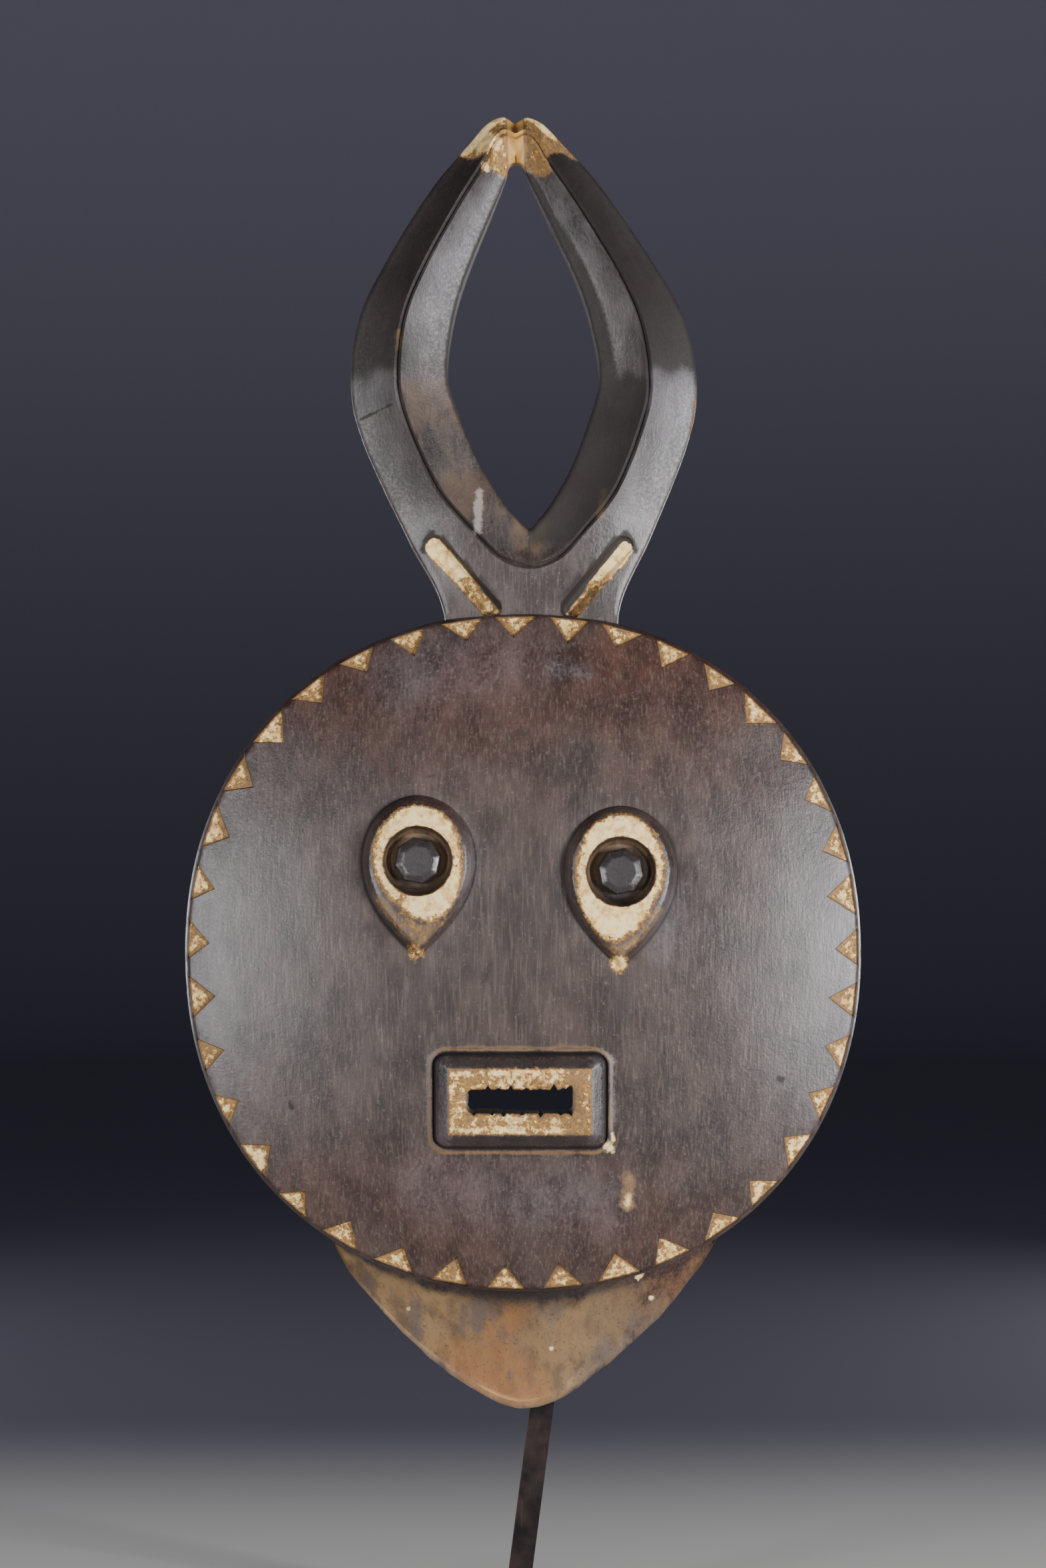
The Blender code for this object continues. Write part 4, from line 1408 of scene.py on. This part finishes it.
def rubbed_colour(f, mottle, cloud, speck):
    """Golden where hands rubbed it most, with patches of orange and of old grey-blue wax."""
    rubbed = f.mix(f.ramp(mottle, 0.34, 0.66), colour(152, 120, 80), colour(98, 77, 56))
    outside = f.attribute("outside")
    orange = f.sum("MULTIPLY", f.ramp(cloud, 0.52, 0.64), outside)
    rubbed = f.coat(rubbed, orange, 0.50, colour(156, 102, 54))
    clouds = f.noise(0.018, 5.0, 0.62, (1, 1, 2.2), turn=11.0)
    wax = f.sum("MULTIPLY", f.ramp(clouds, 0.50, 0.64), outside)
    rubbed = f.coat(rubbed, wax, 0.75, colour(92, 80, 74))
    rubbed = f.coat(rubbed, f.ramp(speck, 0.45, 0.30), 0.6, colour(60, 42, 30))
    return f.mix(f.ramp(f.attribute("bare"), 0.82, 1.0), rubbed, colour(192, 148, 84))


# %% The paint, and the dirt and painted shade over it
def paint_layers(f, grit):
    """Shares of thin and of thick paint, the cream, and the cream with brown edges to its flakes."""
    left = f.attribute("paint")
    level = f.sum("ADD", left, f.sum("MULTIPLY", f.sum("SUBTRACT", grit, 0.5), 1.5))
    painted = f.ramp(left, 0.02, 0.12)
    thin = f.sum("MULTIPLY", f.ramp(level, 0.24, 0.42), painted)
    thick = f.sum("MULTIPLY", f.ramp(level, 0.47, 0.54), painted)
    age = f.noise(0.0048, 4.0, 0.65, turn=5.0)
    cream = f.mix(f.ramp(age, 0.40, 0.70), colour(245, 218, 158), colour(200, 152, 86))
    return thin, thick, cream, f.mix(f.ramp(level, 0.66, 0.51), cream, colour(184, 136, 72))


def make_wood():
    f = Finish("waxed_wood_and_paint")
    grain = f.noise(0.0011, 4.0, 0.6, (1, 1, 14))
    mottle = f.noise(0.016, 6.0, 0.62, (1, 1, 1.8))
    speck = f.noise(0.0017, 3.0, 0.7)
    cloud = f.noise(0.075, 2.0, 0.5, turn=3.0)
    grit = f.noise(0.0034, 6.0, 0.75, turn=8.0)
    base = wood_colour(f, grain, mottle, speck, cloud)
    bare = f.sum("MAXIMUM", f.wear("bare", 1.0, mottle, 0.20), strokes(f, "ochre", grit))
    base = f.mix(bare, base, rubbed_colour(f, mottle, cloud, speck))
    # Dark brown for real dirt and stains, and as painted shade in hollows, grooves and facets turned
    # from the lamps.
    dirt = f.sum("MAXIMUM", f.wear("dirt", 0.6, speck, 0.30), strokes(f, "dark", grit))
    base = f.coat(base, dirt, 0.85, colour(27, 21, 18))
    base = f.coat(base, strokes(f, "pale", grit), 0.6, colour(168, 160, 150))
    polish = f.attribute("polish")
    base = f.coat(base, polish, 0.7, colour(42, 41, 45))
    thin, thick, cream, flakes = paint_layers(f, grit)
    golden = f.mix(f.ramp(speck, 0.35, 0.65), colour(164, 122, 64), colour(102, 72, 38))
    base = f.coat(base, thin, 0.85, golden)
    base = f.coat(base, thick, 0.96, flakes)
    base = f.coat(base, strokes(f, "cream", grit), 0.96, cream)
    f.give(f.shader.inputs["Base Color"], base)
    dull = f.gathered("MAXIMUM", (bare, 0.28), (thin, 0.42), (dirt, 0.34))
    rough = f.gathered("ADD", (speck, 0.30), (f.attribute("inside"), 0.3), (dull, 1.0), (polish, -0.14))
    f.give(f.shader.inputs["Roughness"], f.sum("ADD", rough, 0.20, clamp=True))
    height = f.gathered("ADD", (grain, 0.25), (speck, 0.40), (grit, 0.50), (thick, 0.50))
    bump = f.add("Bump", {"Height": height, "Strength": 0.7, "Distance": 0.0005})
    f.give(f.shader.inputs["Normal"], bump.outputs[0])
    return f.material


mask.data.materials.clear()
mask.data.materials.append(make_wood())
print("wood:", len(mask.data.materials[0].node_tree.nodes), "nodes")

# %% [markdown]
# The stand.
#
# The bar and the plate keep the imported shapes, which are right as they are. Only their corners are
# eased, as on any handled steel, and they get a blackened finish with paler patches and brown streaks.

# %% Blackened steel
def make_steel(name, dark, rubbed):
    f = Finish(name)
    streak = f.noise(0.004, 4.0, 0.6, (1, 1, 6))
    patch = f.noise(0.020, 5.0, 0.6)
    base = f.mix(f.ramp(patch, 0.35, 0.70), dark, rubbed)
    base = f.coat(base, f.ramp(streak, 0.60, 0.78), 0.5, colour(96, 70, 58))
    f.give(f.shader.inputs["Base Color"], base)
    f.shader.inputs["Metallic"].default_value = 0.75
    f.give(f.shader.inputs["Roughness"], f.sum("ADD", f.sum("MULTIPLY", patch, 0.3), 0.32))
    bump = f.add("Bump", {"Height": f.noise(0.0009, 3.0), "Strength": 0.3, "Distance": 0.0002})
    f.give(f.shader.inputs["Normal"], bump.outputs[0])
    return f.material


STEEL_EASE = 0.0008
STEELS = {
    "stand_rod": ("rod_steel", colour(30, 26, 27), colour(58, 47, 44)),
    "stand_foot": ("foot_steel", colour(30, 28, 30), colour(50, 46, 48)),
}
for name, (slot, dark, rubbed) in STEELS.items():
    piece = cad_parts[name]
    piece.data.materials.clear()
    piece.data.materials.append(make_steel(slot, dark, rubbed))
    eased = piece.modifiers.new("eased corners", "BEVEL")
    eased.width = STEEL_EASE
    eased.segments = 2
    eased.limit_method = "ANGLE"
    print(name, "gets the finish", slot)

# %% [markdown]
# The room for the picture.
#
# The stand is on a plain pale floor that runs back into a plain grey wall, all of it one turned sheet
# far wider than the mask. The lamps are two large soft boxes low at the sides, which put the long grey
# sheen on the sloping edges of the disc and leave what faces up dark, a weak one by the camera, and two
# weak ones behind, so that the back and the hollow can be seen from the other side. The wood's colour
# also has that sheen and shade painted into it.

# %% Floor and wall
FLOOR_RADII = (0.5, 1.5, 3.0, 4.5)
COVE_RADIUS = 1.5
WALL_HEIGHTS = (3.0, 6.0)
FLOOR_STEPS = 96


def floor_profile():
    """Pairs of radius and height: the flat floor, the cove and the wall."""
    edge = FLOOR_RADII[-1]
    bends = np.linspace(0.2, math.pi / 2, 8)
    flat = [(radius, 0.0) for radius in FLOOR_RADII]
    cove = [(edge + COVE_RADIUS * math.sin(t), COVE_RADIUS * (1 - math.cos(t))) for t in bends]
    return flat + cove + [(edge + COVE_RADIUS, height) for height in WALL_HEIGHTS]


def floor_finish():
    """Pale underfoot, and grey with a soft glow towards the back and far out."""
    f = Finish("pale_floor_to_grey_wall")
    back = f.add("SeparateXYZ", {0: f.place}).outputs
    far = f.ramp(back["Y"], 0.10, 0.75)
    wide = f.ramp(f.add("VectorMath", {0: f.place}, operation="LENGTH").outputs["Value"], 1.8, 4.5)
    grey = f.sum("MAXIMUM", far, wide)
    f.give(f.shader.inputs["Base Color"], f.mix(grey, colour(214, 212, 208), colour(96, 95, 108)))
    f.shader.inputs["Roughness"].default_value = 0.9
    f.shader.inputs["Specular IOR Level"].default_value = 0.1
    glow = f.mix(f.ramp(back["Z"], 0.2, 2.2), colour(20, 20, 24), colour(78, 77, 88))
    f.give(f.shader.inputs["Emission Color"], f.mix(grey, colour(40, 40, 40), glow))
    f.shader.inputs["Emission Strength"].default_value = 0.6
    return f.material


def make_floor():
    shape = bmesh.new()
    rows = []
    for radius, z in floor_profile():
        ring = radius * round_points(turns(FLOOR_STEPS))
        rows.append([shape.verts.new((x, y, z)) for x, y in ring])
    shape.faces.new(rows[0])
    add_faces(shape, rows)
    floor = to_object("floor", shape)
    floor.data.shade_smooth()
    floor.data.materials.append(floor_finish())


make_floor()

# %% Lamps
def soft_box(name, at, size, watts, tint):
    lamp = bpy.data.lights.new(name, "AREA")
    lamp.shape = "RECTANGLE"
    lamp.size, lamp.size_y = size
    lamp.energy = watts
    lamp.color = tint
    holder = bpy.data.objects.new(name, lamp)
    holder.location = at
    holder.rotation_euler = (MIDDLE - Vector(at)).to_track_quat("-Z", "Y").to_euler()
    bpy.context.scene.collection.objects.link(holder)


# Each lamp's place, size, watts and tint.
LAMPS = {
    "left_box": ((-1.44, -1.56, 0.27), (0.45, 0.85), 38, (0.95, 0.97, 1.0)),
    "right_box": ((1.64, -1.37, 0.27), (0.40, 0.85), 82, (0.95, 0.97, 1.0)),
    "front_box": ((0.0, -2.6, 0.55), (1.5, 1.5), 13, (1.0, 0.96, 0.92)),
    "back_left_box": ((-1.30, 1.25, 0.36), (0.5, 0.5), 8, (0.97, 0.98, 1.0)),
    "back_right_box": ((1.20, 1.35, 0.36), (0.5, 0.5), 11, (1.0, 0.98, 0.95)),
}
for name, lamp in LAMPS.items():
    soft_box(name, *lamp)
print(len(LAMPS), "lamps")

world = bpy.data.worlds.new("room")
world.use_nodes = True
background = world.node_tree.nodes["Background"].inputs
background["Color"].default_value = (0.5, 0.52, 0.58, 1)
background["Strength"].default_value = 0.08
bpy.context.scene.world = world

# %% [markdown]
# The camera.
#
# The picture was taken straight on, from a little above the middle of the disc, with a long lens: the
# eye of the camera is where the disc's rim and the horns line up with each other as they do there.

# %% Camera
CAMERA_AWAY = 2.2
CAMERA_UP = 0.091
PICTURE_HEIGHT = 0.846
SENSOR = 36
camera = bpy.data.objects.new("camera", bpy.data.cameras.new("camera"))
camera.data.sensor_width = SENSOR
camera.data.lens = SENSOR * CAMERA_AWAY / PICTURE_HEIGHT
camera.location = MIDDLE + Vector((0, -CAMERA_AWAY, CAMERA_UP))
camera.rotation_euler = (math.radians(90), 0, 0)
bpy.context.scene.collection.objects.link(camera)
bpy.context.scene.camera = camera
print("lens", round(camera.data.lens, 1), "mm,", round(CAMERA_AWAY, 2), "m away")
